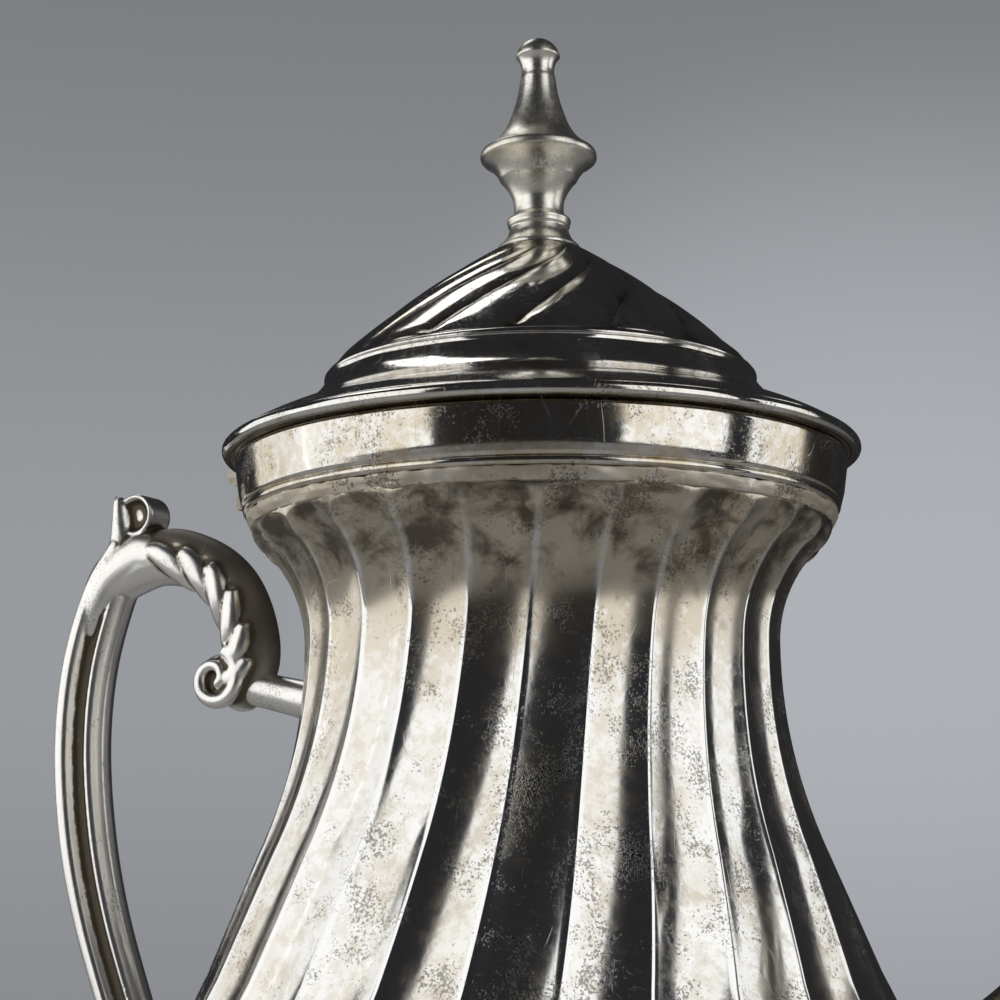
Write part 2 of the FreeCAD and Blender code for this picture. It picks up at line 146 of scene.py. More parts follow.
def smooth_path(stations: Sequence[Sequence[float]], per_span: int) -> np.ndarray:
    """Catmull-Rom line through stations.

    Args:
        stations: rows of numbers; all columns are interpolated.
        per_span: samples between two stations.

    Returns:
        The sampled rows.
    """
    rows = np.array(stations, float)
    rows = np.vstack([2 * rows[0] - rows[1], rows, 2 * rows[-1] - rows[-2]])
    out = []
    for i in range(1, len(rows) - 2):
        a, b, c, d = rows[i - 1 : i + 3]
        for t in np.arange(per_span) / per_span:
            out.append(
                0.5 * (2 * b + (c - a) * t + (2 * a - 5 * b + 4 * c - d) * t**2 + (3 * b - a - 3 * c + d) * t**3)
            )
    out.append(rows[-2])
    return np.array(out)


def new_object(name: str, verts: np.ndarray, faces: Sequence[Sequence[int]], scale: float = MM) -> bpy.types.Object:
    """Mesh object at the origin, smooth shaded.

    Args:
        name: the piece's name.
        verts: rows of x, y, z in millimetres.
        faces: corner numbers of each face.
        scale: metres in one unit of verts.

    Returns:
        The linked object.
    """
    mesh = bpy.data.meshes.new(name)
    mesh.from_pydata((np.asarray(verts, float) * scale).tolist(), [], [list(map(int, f)) for f in faces])
    mesh.validate()
    mesh.shade_smooth()
    piece = bpy.data.objects.new(name, mesh)
    bpy.context.scene.collection.objects.link(piece)
    return piece


def store(piece: bpy.types.Object, name: str, values: np.ndarray) -> None:
    """Writes one number per vertex as a named attribute.

    Args:
        piece: the mesh object.
        name: the attribute's name.
        values: one number per vertex.
    """
    layer = piece.data.attributes.new(name, "FLOAT", "POINT")
    layer.data.foreach_set("value", np.asarray(values, np.float32).ravel())


def grid_faces(rows: int, columns: int, first: int = 0) -> list[tuple[int, int, int, int]]:
    """Quads of a grid that closes around, row after row.

    Args:
        rows: rings of the grid.
        columns: points in each ring.
        first: number of the first vertex.

    Returns:
        The quads; they face outwards where rings run down and points run anticlockwise.
    """
    faces = []
    for i in range(rows - 1):
        for j in range(columns):
            k = (j + 1) % columns
            a, b = first + i * columns, first + (i + 1) * columns
            faces.append((a + j, b + j, b + k, a + k))
    return faces


def apply_stack(piece: bpy.types.Object) -> None:
    """Turns a piece's modifiers into its mesh.

    Args:
        piece: the object whose modifiers are applied.
    """
    bpy.context.view_layer.update()
    made = bpy.data.meshes.new_from_object(piece.evaluated_get(bpy.context.evaluated_depsgraph_get()))
    old = piece.data
    piece.modifiers.clear()
    piece.data = made
    made.name = piece.name
    bpy.data.meshes.remove(old)


def wavy(piece: bpy.types.Object, strength: float, grain: float) -> None:
    """Hand-worked unevenness, so that reflections waver as on old sheet metal.

    Args:
        piece: the object.
        strength: full depth of the waves, in millimetres.
        grain: size of the waves, in millimetres.
    """
    cloud = bpy.data.textures.new(piece.name + "_waves", "CLOUDS")
    cloud.noise_scale = grain * MM
    cloud.noise_depth = 1
    waves = piece.modifiers.new("waves", "DISPLACE")
    waves.texture = cloud
    waves.texture_coords = "LOCAL"
    waves.strength = strength * MM
    waves.mid_level = 0.5


def sheet_wall(piece: bpy.types.Object, thickness: float) -> None:
    """Gives a skin its metal wall, on its inner side.

    Args:
        piece: the skin.
        thickness: wall in millimetres.
    """
    wall = piece.modifiers.new("wall", "SOLIDIFY")
    wall.thickness = thickness * MM
    wall.offset = -1.0
    wall.use_even_offset = False


# ---------------------------------------------------------------- finishes
class Nodes:
    """Short way to place and join shader nodes in one tree."""

    def __init__(self, tree: bpy.types.NodeTree) -> None:
        """Keeps the tree.

        Args:
            tree: a material's, world's or group's node tree.
        """
        self.tree = tree

    def put(self, kind: str, wires: dict[str | int, object] | None = None, **settings: object) -> bpy.types.Node:
        """Places a node.

        Args:
            kind: the node's type name.
            wires: input name or number, to a socket that feeds it or a value.
            settings: the node's own settings.

        Returns:
            The node.
        """
        node = self.tree.nodes.new(kind)
        for name, value in settings.items():
            setattr(node, name, value)
        for key, value in (wires or {}).items():
            if isinstance(value, bpy.types.NodeSocket):
                self.tree.links.new(value, node.inputs[key])
            else:
                node.inputs[key].default_value = value
        return node

    def math(self, operation: str, a: object, b: object = 0.0, clamp: bool = False) -> bpy.types.NodeSocket:
        """One Math node.

        Args:
            operation: Blender's name of the operation.
            a: first socket or number.
            b: second socket or number.
            clamp: whether the result stays from 0 to 1.

        Returns:
            The result's socket.
        """
        return self.put("ShaderNodeMath", {0: a, 1: b}, operation=operation, use_clamp=clamp).outputs[0]

    def ramp(self, value: object, low: object, high: object, to: Corner = (0.0, 1.0), fade: Fade = Fade.SMOOTH):
        """Maps a value between two limits.

        Args:
            value: the socket to map.
            low: where the range starts.
            high: where the range ends.
            to: results at the two limits.
            fade: the way it changes between them.

        Returns:
            The result's socket.
        """
        wires = {"Value": value, "From Min": low, "From Max": high, "To Min": to[0], "To Max": to[1]}
        return self.put("ShaderNodeMapRange", wires, interpolation_type=fade.value).outputs["Result"]

    def noise(self, place: object, scale: object, detail: float = 4.0, rough: float = 0.55, warp: float = 0.0):
        """One noise pattern.

        Args:
            place: coordinates socket.
            scale: pattern size, in features per metre.
            detail: layers of finer noise.
            rough: strength of the finer layers.
            warp: distortion.

        Returns:
            The Fac socket.
        """
        wires = {"Vector": place, "Scale": scale, "Detail": detail, "Roughness": rough, "Distortion": warp}
        return self.put("ShaderNodeTexNoise", wires).outputs[0]

    def blend(self, amount: object, a: object, b: object) -> bpy.types.NodeSocket:
        """Mixes two colours.

        Args:
            amount: share of the second colour.
            a: first colour, socket or RGB.
            b: second colour, socket or RGB.

        Returns:
            The mixed colour's socket.
        """
        node = self.put("ShaderNodeMix", None, data_type="RGBA")
        for key, value in ((0, amount), (6, a), (7, b)):
            if isinstance(value, bpy.types.NodeSocket):
                self.tree.links.new(value, node.inputs[key])
            else:
                node.inputs[key].default_value = (*value, 1.0) if key else value
        return node.outputs[2]


def new_group(
    name: str, inputs: dict[str, float], outputs: Sequence[str]
) -> tuple[Nodes, bpy.types.Node, bpy.types.Node]:
    """Empty shader group with a Vector input.

    Args:
        name: the group's name.
        inputs: number inputs and their defaults.
        outputs: names of the number outputs.

    Returns:
        The group's nodes, its input node and its output node.
    """
    tree = bpy.data.node_groups.new(name, "ShaderNodeTree")
    tree.interface.new_socket("Vector", in_out="INPUT", socket_type="NodeSocketVector")
    for key, value in inputs.items():
        tree.interface.new_socket(key, in_out="INPUT", socket_type="NodeSocketFloat").default_value = value
    for key in outputs:
        tree.interface.new_socket(key, in_out="OUTPUT", socket_type="NodeSocketFloat")
    nodes = Nodes(tree)
    return nodes, nodes.put("NodeGroupInput"), nodes.put("NodeGroupOutput")


class WearEffects:
    """Shader groups that the silver finishes share: tarnish clouds, pits and hair scratches."""

    def __init__(self) -> None:
        """Builds the three groups."""
        self.clouds = self._clouds()
        self.pits = self._pits()
        self.scratches = self._scratches()

    def _clouds(self) -> bpy.types.NodeTree:
        """Soft-edged clouds of tarnish with ragged borders."""
        n, given, out = new_group("tarnish_clouds", {"Scale": 60.0, "Cover": 0.5, "Soft": 0.1}, ["Mask"])
        broad = n.noise(given.outputs["Vector"], given.outputs["Scale"], 7.0, 0.62, 0.3)
        edge = n.math("SUBTRACT", 1.0, given.outputs["Cover"])
        low = n.math("SUBTRACT", edge, given.outputs["Soft"])
        high = n.math("ADD", edge, given.outputs["Soft"])
        n.tree.links.new(n.ramp(broad, low, high), out.inputs["Mask"])
        return n.tree

    def _pits(self) -> bpy.types.NodeTree:
        """Small dark specks that gather in clusters."""
        n, given, out = new_group("pits", {"Scale": 1500.0, "Cover": 0.3}, ["Mask"])
        fine = n.noise(given.outputs["Vector"], given.outputs["Scale"], 3.0, 0.7)
        wide = n.noise(given.outputs["Vector"], n.math("MULTIPLY", given.outputs["Scale"], 0.05), 3.0, 0.6)
        level = n.math("MULTIPLY", given.outputs["Cover"], n.ramp(wide, 0.36, 0.70))
        edge = n.math("SUBTRACT", 0.72, n.math("MULTIPLY", level, 0.26))
        mask = n.ramp(fine, edge, n.math("ADD", edge, 0.07))
        n.tree.links.new(mask, out.inputs["Mask"])
        return n.tree

    def _scratches(self) -> bpy.types.NodeTree:
        """Hair scratches that run in a few directions and break off."""
        n, given, out = new_group("hair_scratches", {"Scale": 90.0, "Width": 0.002}, ["Mask"])
        total: object = 0.0
        for number, (turn, tilt) in enumerate(((0.5, 0.2), (-0.7, 0.4), (1.3, -0.3), (2.2, 0.9))):
            wires = {"Vector": given.outputs["Vector"], "Rotation": (tilt, turn, 0.3 * turn)}
            wires |= {"Scale": (1.0, 1.0, 0.16), "Location": (0.11 * number, 0.07, 0.05 * number)}
            place = n.put("ShaderNodeMapping", wires).outputs[0]
            line = n.noise(place, given.outputs["Scale"], 1.0, 0.4)
            off = n.math("ABSOLUTE", n.math("SUBTRACT", line, 0.5))
            thin = n.ramp(off, 0.0, given.outputs["Width"], (1.0, 0.0), Fade.LINEAR)
            broken = n.ramp(n.noise(place, n.math("MULTIPLY", given.outputs["Scale"], 2.3), 2.0), 0.55, 0.66)
            total = n.math("MAXIMUM", total, n.math("MULTIPLY", thin, broken))
        n.tree.links.new(total, out.inputs["Mask"])
        return n.tree


@dataclass(frozen=True)
class SilverFinish:
    """Old silver plate: bright where it is rubbed, yellow-brown to black where it has tarnished, and dark where the
    tarnish attribute paints shade.
    """

    name: str
    bright: Colour = (0.88, 0.88, 0.87)
    warm: Colour = (0.63, 0.56, 0.44)
    dark: Colour = (0.085, 0.068, 0.050)
    polish: float = 0.09
    haze: float = 0.16
    cloud_scale: float = 55.0
    cloud_cover: float = 0.40
    pit_scale: float = 2600.0
    pit_cover: float = 0.75
    scratch: float = 0.5
    dents: float = 0.00003
    deep_cover: float = 0.72

    def build(self, effects: WearEffects) -> bpy.types.Material:
        """Makes the material.

        Args:
            effects: the shared shader groups.

        Returns:
            The material.
        """
        material = bpy.data.materials.new(self.name)
        material.use_nodes = True
        material.node_tree.nodes.clear()
        n = Nodes(material.node_tree)
        place = n.put("ShaderNodeTexCoord").outputs["Object"]
        tarnish_and_shade = n.put("ShaderNodeAttribute", attribute_name="tarnish_and_shade").outputs["Fac"]
        worn = n.put("ShaderNodeAttribute", attribute_name="worn").outputs["Fac"]

        # The tarnish attribute holds tarnish, and on the lid rim's underside painted shade; both raise the film and
        # deep cover below.
        cover = n.math("ADD", n.math("MULTIPLY", tarnish_and_shade, 0.45), self.cloud_cover)
        cover = n.math("SUBTRACT", cover, n.math("MULTIPLY", worn, 0.25))
        broad = self._group(n, effects.clouds, place, Scale=self.cloud_scale, Cover=cover, Soft=0.16)
        fine = self._group(n, effects.clouds, place, Scale=self.cloud_scale * 9.0, Cover=cover, Soft=0.09)
        film = n.math("ADD", n.math("MULTIPLY", broad, 0.55), n.math("MULTIPLY", fine, 0.35), clamp=True)
        deep_cover = n.math("MULTIPLY", tarnish_and_shade, self.deep_cover)
        deep = self._group(n, effects.clouds, place, Scale=self.cloud_scale * 3.1, Cover=deep_cover, Soft=0.12)
        pits = self._group(n, effects.pits, place, Scale=self.pit_scale, Cover=self.pit_cover)
        lines = self._group(n, effects.scratches, place, Scale=110.0, Width=0.0022)

        tone = n.blend(film, self.bright, self.warm)
        tone = n.blend(n.math("MULTIPLY", deep, 0.85), tone, self.dark)
        tone = n.blend(n.math("MULTIPLY", pits, 0.62), tone, self.dark)
        tone = n.blend(n.math("MULTIPLY", lines, self.scratch), tone, (0.93, 0.91, 0.88))
        tone = n.blend(n.math("MULTIPLY", worn, 0.55), tone, self.bright)

        gloss = n.math("ADD", n.math("MULTIPLY", film, self.haze), self.polish)
        gloss = n.math("ADD", gloss, n.math("MULTIPLY", deep, 0.12))
        gloss = n.math("ADD", gloss, n.math("MULTIPLY", lines, 0.18), clamp=True)

        swell = n.noise(place, 140.0, 2.0, 0.5)
        height = n.math("ADD", n.math("MULTIPLY", swell, 1.0), n.math("MULTIPLY", pits, -0.25))
        height = n.math("ADD", height, n.math("MULTIPLY", lines, -0.12))
        height = n.math("ADD", height, n.math("MULTIPLY", fine, 0.06))
        bump = n.put("ShaderNodeBump", {"Strength": 1.0, "Distance": self.dents, "Height": height}).outputs[0]
        wires = {"Metallic": 1.0, "Base Color": tone, "Roughness": gloss, "Normal": bump}
        shader = n.put("ShaderNodeBsdfPrincipled", wires)
        n.put("ShaderNodeOutputMaterial", {"Surface": shader.outputs[0]})
        return material

    @staticmethod
    def _group(
        n: Nodes, tree: bpy.types.NodeTree, place: bpy.types.NodeSocket, **values: object
    ) -> bpy.types.NodeSocket:
        """Places a shared group.

        Args:
            n: the material's nodes.
            tree: the group.
            place: coordinates socket.
            values: the group's inputs by name.

        Returns:
            The group's mask.
        """
        node = n.put("ShaderNodeGroup", None, node_tree=tree)
        n.tree.links.new(place, node.inputs["Vector"])
        for key, value in values.items():
            if isinstance(value, bpy.types.NodeSocket):
                n.tree.links.new(value, node.inputs[key])
            else:
                node.inputs[key].default_value = value
        return node.outputs["Mask"]


FINISHES = (
    SilverFinish("swirl_plate", cloud_cover=0.44, pit_cover=0.95),
    SilverFinish(
        "collar_plate", cloud_cover=0.52, cloud_scale=80.0, warm=(0.58, 0.49, 0.33), pit_cover=0.9, polish=0.06,
        haze=0.09,
    ),
    SilverFinish("rough_solder", cloud_cover=0.6, pit_cover=1.1, polish=0.3, haze=0.3, dents=0.0002),
    SilverFinish("lid_plate", cloud_cover=0.34, polish=0.06, haze=0.09, cloud_scale=70.0),
    SilverFinish(
        "finial_plate", cloud_cover=0.46, polish=0.26, haze=0.22, cloud_scale=160.0, scratch=0.25,
        bright=(0.95, 0.94, 0.90), warm=(0.78, 0.72, 0.56),
    ),
    SilverFinish(
        "cast_plate", bright=(0.94, 0.93, 0.90), cloud_cover=0.30, polish=0.30, haze=0.16, cloud_scale=170.0,
        scratch=0.2, deep_cover=1.0, warm=(0.50, 0.42, 0.30), dark=(0.09, 0.07, 0.05),
    ),
    SilverFinish("fixing_brass", bright=(0.78, 0.60, 0.30), warm=(0.45, 0.30, 0.14), polish=0.25),
    SilverFinish(
        "hinge_plate", bright=(0.42, 0.40, 0.37), warm=(0.26, 0.22, 0.16), cloud_cover=0.55, polish=0.24,
        cloud_scale=220.0,
    ),
)


def dress(piece: bpy.types.Object, finish: bpy.types.Material, slot: str, body: str, *nodes: str) -> None:
    """Gives a new piece its finish, its body and the CAD nodes it stands for.

    Args:
        piece: the new object.
        finish: its material.
        slot: not used.
        body: the CAD body that it rides on.
        nodes: the CAD nodes that it replaces.
    """
    piece.data.materials.clear()
    piece.data.materials.append(finish)
    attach(piece, body)
    if nodes:
        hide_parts(*nodes)
    LOG.info("%s: %d vertices on %s", piece.name, len(piece.data.vertices), body)


def turned(
    name: str, outline: Outline, pitch: float, steps: int,
    tarnish_and_shade: Callable[[np.ndarray, np.ndarray], np.ndarray] | None = None,
) -> bpy.types.Object:
    """Turned piece from its outline, which runs from top to bottom.

    An outline that touches the axis at neither end is closed into a ring.

    Args:
        name: the piece's name.
        outline: the half outline.
        pitch: spacing of the outline's points, in millimetres.
        steps: parts of a full turn.
        tarnish_and_shade: how dark the metal is, from the radius and the height; the lid rim uses it for painted
            shade.

    Returns:
        The object, with a live Screw.
    """
    points = outline.points(pitch)
    verts = [(r * MM, 0.0, z * MM) for r, z in points]
    mesh = bpy.data.meshes.new(name)
    edges = [(i, i + 1) for i in range(len(verts) - 1)]
    if verts[0][0] > 0.0 and verts[-1][0] > 0.0:
        edges.append((len(verts) - 1, 0))
    mesh.from_pydata(verts, edges, [])
    piece = bpy.data.objects.new(name, mesh)
    bpy.context.scene.collection.objects.link(piece)
    if tarnish_and_shade:
        store(piece, "tarnish_and_shade", tarnish_and_shade(points[:, 0], points[:, 1]))
    screw = piece.modifiers.new("turn", "SCREW")
    screw.steps = screw.render_steps = steps
    screw.use_merge_vertices = True
    screw.merge_threshold = 0.00001
    screw.use_smooth_shade = True
    return piece


# ---------------------------------------------------------------- fluted skins
@dataclass(frozen=True)
class FluteShape:
    """Cross section of the flutes or lobes that run round a skin."""

    count: int
    shares: tuple[float, ...]
    convex: bool = False
    lean: float = 0.5
    soft: float = 0.07

    def depth(self) -> np.ndarray:
        """Depth at each share of one flute's width: 0 on the crest, 1 at the deepest line."""
        u = np.array(self.shares)
        if self.convex:
            warped = np.where(u < self.lean, 0.5 * u / self.lean, 0.5 + 0.5 * (u - self.lean) / (1.0 - self.lean))
            return np.abs(2.0 * warped - 1.0) ** 3.4
        bow = 4.0 * u * (1.0 - u)
        return (np.sqrt(bow**2 + self.soft**2) - self.soft) / (math.sqrt(1.0 + self.soft**2) - self.soft)


@dataclass(frozen=True)
class FlutedSkin:
    """Skin of revolution whose surface is pressed into slanting flutes."""

    name: str
    outline: Outline
    pitch: Callable[[float], float]
    flutes: FluteShape
    slant: Callable[[np.ndarray, np.ndarray], np.ndarray]
    depth: Callable[[np.ndarray, np.ndarray, np.ndarray], np.ndarray]
    closed_end: bool = False

    def build(self) -> tuple[bpy.types.Object, np.ndarray, np.ndarray, np.ndarray]:
        """Makes the skin.

        Returns:
            The object, then the radius, the height and the flute depth share of each vertex.
        """
        line = self.outline.points(self.pitch)
        normal = outline_normals(line)
        shares = np.array(self.flutes.shares)
        shape = self.flutes.depth()
        count, per = self.flutes.count, len(shares)
        step = 2.0 * math.pi / count
        base = (np.repeat(np.arange(count), per) + np.tile(shares, count)) * step
        share = np.tile(shares, count)
        dip = np.tile(shape, count)
        r, z = line[:, 0][:, None], line[:, 1][:, None]
        angle = base[None, :] + self.slant(r, z)
        inward = self.depth(r, z, share[None, :]) * dip[None, :]
        rr = r - inward * normal[:, 0][:, None]
        zz = z - inward * normal[:, 1][:, None]
        verts = np.stack([rr * np.cos(angle), rr * np.sin(angle), np.broadcast_to(zz, rr.shape)], axis=2)
        verts = verts.reshape(-1, 3)
        columns = count * per
        faces: list[Sequence[int]] = list(grid_faces(len(line), columns))
        radius = np.broadcast_to(r, rr.shape).ravel()
        height = np.broadcast_to(z, rr.shape).ravel()
        dips = np.broadcast_to(dip[None, :], rr.shape).ravel()
        if self.closed_end:
            verts = np.vstack([verts, [[0.0, 0.0, line[-1, 1]]]])
            last = len(verts) - 1
            ring = last - columns
            faces += [(ring + j, last, ring + (j + 1) % columns) for j in range(columns)]
            radius, height, dips = (np.append(a, b) for a, b in ((radius, 0.0), (height, line[-1, 1]), (dips, 0.0)))
        return new_object(self.name, verts, faces), radius, height, dips


# ---------------------------------------------------------------- vessel
@dataclass
class Vessel:
    """Body of the pot: baluster shell with slanting flutes, collar, wires and foot."""

    silver: bpy.types.Material
    collar_silver: bpy.types.Material
    solder_silver: bpy.types.Material
    shells: tuple[str, ...]
    flute_count: int = 26
    flute_share: float = 0.095
    flute_start: float = -62.8
    wall: float = 0.9
    outline: Outline = Outline(
        (
            (42.5, 191.9), (42.5, 189.4), (39.7, 184.8, -5.2), (34.5, 171.5, 18.8), (40.8, 142.0, 72.0),
            (47.4, 125.7), (59.2, 77.0, -108.0), (22.0, 26.4, -53.0), (2.0, 26.4),
        )
    )
    foot_outline: Outline = Outline(((20.0, 24.2), (31.5, 11.0, 17.0), (37.0, 7.2, 12.0), (42.8, 1.0, -12.0)))

    def profile_radius(self, height: float) -> float:
        """Outer radius of the plain body at a height.

        Args:
            height: millimetres above the table.

        Returns:
            The radius in millimetres.
        """
        line = self.outline.points(1.0)[::-1]
        return float(np.interp(height, line[:, 1], line[:, 0]))

    def _slant(self, r: np.ndarray, z: np.ndarray) -> np.ndarray:
        """Angle of the crests at a height: they lean further round towards the base."""
        down = 189.0 - z
        return np.radians(self.flute_start - 0.155 * down - 0.00055 * down**2)

    def _depth(self, r: np.ndarray, z: np.ndarray, share: np.ndarray) -> np.ndarray:
        """Depth of the flutes, with arched tops under the collar."""
        arch = 188.7 - 1.1 * np.abs(2.0 * share - 1.0) ** 2.2
        fade = smooth_step(0.0, 1.5, arch - z) * smooth_step(26.0, 36.0, z)
        return self.flute_share * 2.0 * math.pi * r / self.flute_count * fade

    def make_body(self) -> None:
        """Fluted shell of the body."""
        shares = (0.0, 0.03, 0.08, 0.16, 0.28, 0.42, 0.58, 0.72, 0.84, 0.92, 0.97)
        flutes = FluteShape(self.flute_count, shares)
        skin = FlutedSkin(
            "fluted_body", self.outline,
            lambda z: 0.3 if z > 185.5 else (0.9 if z > 165.0 else 2.2),
            flutes, self._slant, self._depth, closed_end=True,
        )
        body, _, z, dips = skin.build()
        store(body, "tarnish_and_shade", 0.62 * smooth_step(160.0, 184.0, z) + 0.10 * dips + 0.4 * smooth_step(60.0, 26.0, z))
        store(body, "worn", 0.8 * (dips < 0.15) * smooth_step(191.0, 180.0, z))
        wavy(body, 0.16, 24.0)
        sheet_wall(body, self.wall)
        dress(body, self.silver, "plated_body", "pot", *self.shells)

    def make_collar(self) -> None:
        """Plain collar, its wire and the rough solder line under it."""
        corners = (
            (43.4, 198.9), (44.5, 199.0), (45.0, 198.6, 0.6), (44.3, 193.6), (43.85, 191.9),
            (42.4, 191.7),
        )
        collar = turned("collar", Outline(corners), 0.6, 192)
        wavy(collar, 0.10, 16.0)
        dress(collar, self.collar_silver, "plated_plain", "pot", "neck_collar")
        ring = [(43.1 + 0.62 * math.cos(a), 191.3 + 0.62 * math.sin(a)) for a in np.linspace(2.6, -2.6, 15)]
        wire = turned("collar_wire_bead", Outline(tuple(ring)), 1.0, 192)
        wavy(wire, 0.12, 5.0)
        dress(wire, self.collar_silver, "plated_plain", "pot", "collar_wire")
        bead = Outline(((42.6, 190.75), (43.15, 190.6), (43.0, 189.9), (42.45, 188.7)))
        band = turned("solder_line", bead, 0.3, 256)
        rough = bpy.data.textures.new("solder_rough", "CLOUDS")
        rough.noise_scale = 2.2 * MM
        rough.noise_depth = 3
        lumps = band.modifiers.new("lumps", "DISPLACE")
        lumps.texture = rough
        lumps.texture_coords = "LOCAL"
        lumps.strength = 0.9 * MM
        lumps.mid_level = 0.45
        dress(band, self.solder_silver, "solder", "pot", "solder_band")

    def make_foot(self) -> None:
        """Bell foot with shallow flutes, its rim wire and its joint ring."""
        shares = (0.0, 0.05, 0.15, 0.3, 0.5, 0.7, 0.85, 0.95)
        start = float(self._slant(np.array(22.0), np.array(26.4)))
        skin = FlutedSkin(
            "fluted_foot", self.foot_outline, lambda z: 0.9,
            FluteShape(self.flute_count, shares),
            lambda r, z: start + np.radians(-1.1 * (24.2 - z)),
            lambda r, z, share: 0.10 * 2.0 * math.pi * r / self.flute_count
            * smooth_step(24.2, 22.0, z) * smooth_step(6.4, 8.6, z - 0.8 * np.abs(2.0 * share - 1.0)),
        )
        foot, _, z, dips = skin.build()
        store(foot, "tarnish_and_shade", 0.25 + 0.4 * dips)
        store(foot, "worn", 0.6 * (dips < 0.15))
        wavy(foot, 0.10, 14.0)
        sheet_wall(foot, 0.9)
        dress(foot, self.silver, "plated_body", "pot", "foot_shell")
        rim = Outline(((41.6, 2.35), (43.0, 2.4), (43.5, 1.2, -1.3), (43.2, 0.05, -1.2), (41.5, 0.0), (41.4, 0.3)))
        wire = turned("foot_wire", rim, 0.4, 192)
        dress(wire, self.collar_silver, "plated_plain", "pot", "foot_rim_wire")
        joint = Outline(((21.6, 26.4), (22.3, 25.3, -1.3), (21.6, 24.2, -1.3), (19.6, 24.2)))
        ring = turned("foot_ring", joint, 0.3, 160)
        dress(ring, self.collar_silver, "plated_plain", "pot", "foot_joint_ring")

    def make(self) -> None:
        """Builds the whole vessel."""
        self.make_body()
        self.make_collar()
        self.make_foot()


# ---------------------------------------------------------------- lid
@dataclass
class Lid:
    """Hinged lid: lobed dome, rolled rim, bezel and turned finial."""

    silver: bpy.types.Material
    plain_silver: bpy.types.Material
    finial_silver: bpy.types.Material
    lobe_count: int = 15
    lobe_depth: float = 0.6
    lobe_start: float = -69.0
    outline: Outline = Outline(
        (
            (1.6, 232.0), (6.2, 232.0), (29.5, 214.4, -142.0), (31.2, 212.1, -8.0), (31.2, 211.75),
            (32.0, 211.55, -0.5), (32.1, 211.0, -0.4), (31.8, 210.7), (38.2, 204.9, 12.0), (46.4, 200.9, -40.0),
        )
    )

    def _slant(self, r: np.ndarray, z: np.ndarray) -> np.ndarray:
        """Angle of the valleys: they sweep round faster towards the top."""
        inside = np.clip(31.0 - r, 0.0, 22.0)
        return np.radians(self.lobe_start + 1.3 * inside + 0.055 * inside**2)

    def _depth(self, r: np.ndarray, z: np.ndarray, share: np.ndarray) -> np.ndarray:
        """Depth of the valleys between the lobes."""
        fade = smooth_step(5.5, 15.0, r) * smooth_step(211.9, 213.6, z)
        return self.lobe_depth * fade * np.clip(r / 27.0, 0.0, 1.1)

    def make_dome(self) -> None:
        """Lobed dome with its smooth skirt."""
        shares = (0.0, 0.02, 0.05, 0.1, 0.17, 0.25, 0.34, 0.44, 0.54, 0.64, 0.73, 0.81, 0.88, 0.94, 0.98)
        skin = FlutedSkin(
            "lobed_dome", self.outline, lambda z: 0.7, FluteShape(self.lobe_count, shares, convex=True, lean=0.42),
            self._slant, self._depth,
        )
        dome, r, z, dips = skin.build()
        seam = np.exp(-(((z - 211.3) / 0.7) ** 2))
        store(dome, "tarnish_and_shade", 0.30 + 0.35 * dips * (z > 211.5) + 0.35 * smooth_step(12.0, 6.0, r) + 0.3 * seam)
        store(dome, "worn", 0.5 * seam)
        wavy(dome, 0.14, 15.0)
        sheet_wall(dome, 0.9)
        dress(dome, self.silver, "plated_lid", "lid", "lid_dome")

    def make_rim(self) -> None:
        """Rolled rim with a bead, its underside darkened as painted shade over the gap to the collar, and the bezel
        under it.
        """
        corners = (
            (44.4, 201.35), (45.6, 201.25), (46.4, 200.85, -1.4), (46.9, 200.0, -1.0), (46.5, 199.25, -0.8),
            (45.6, 199.05), (45.2, 199.35), (44.6, 199.05), (43.0, 199.1), (41.4, 199.3), (41.2, 200.4),
        )
        # painted shade: the tarnish values darken the rim's underside, where the gap over the collar lies in shadow
        rim = turned(
            "lid_rolled_rim", Outline(corners), 0.25, 224,
            lambda r, z: 0.2 + 1.1 * smooth_step(199.5, 199.1, z) * smooth_step(46.6, 45.8, r),
        )
        wavy(rim, 0.10, 12.0)
        dress(rim, self.plain_silver, "plated_lid", "lid", "lid_rim")
        ring = Outline(((42.2, 199.2), (42.2, 195.6), (41.9, 195.0), (41.2, 195.1), (41.2, 199.2)))
        bezel = turned("lid_bezel_ring", ring, 0.5, 192)
        dress(bezel, self.plain_silver, "plated_lid", "lid", "lid_bezel")

    def make_finial(self) -> None:
        """Turned finial with its disc, spire and button."""
        corners = (
            (0.0, 265.4), (1.6, 265.4), (3.4, 262.9, -3.4), (2.7, 259.4, 3.4), (4.28, 252.8, 26.0), (8.3, 247.7, 9.5),
            (8.85, 246.9, -0.9), (8.5, 246.0, -0.8), (5.9, 243.1, 6.0), (3.9, 239.8, 8.0), (3.9, 237.4, 6.0),
            (4.6, 236.9), (4.7, 236.1, -0.5), (4.4, 235.4, -0.6), (4.5, 235.0), (6.1, 232.5, 4.0), (6.2, 231.8),
            (1.4, 231.8), (0.0, 231.8),
        )
        finial = turned("turned_finial", Outline(corners), 0.25, 96)
        wavy(finial, 0.06, 6.0)
        dress(finial, self.finial_silver, "cast_silver", "lid", "finial")

    def make(self) -> None:
        """Builds the whole lid."""
        self.make_dome()
        self.make_rim()
        self.make_finial()


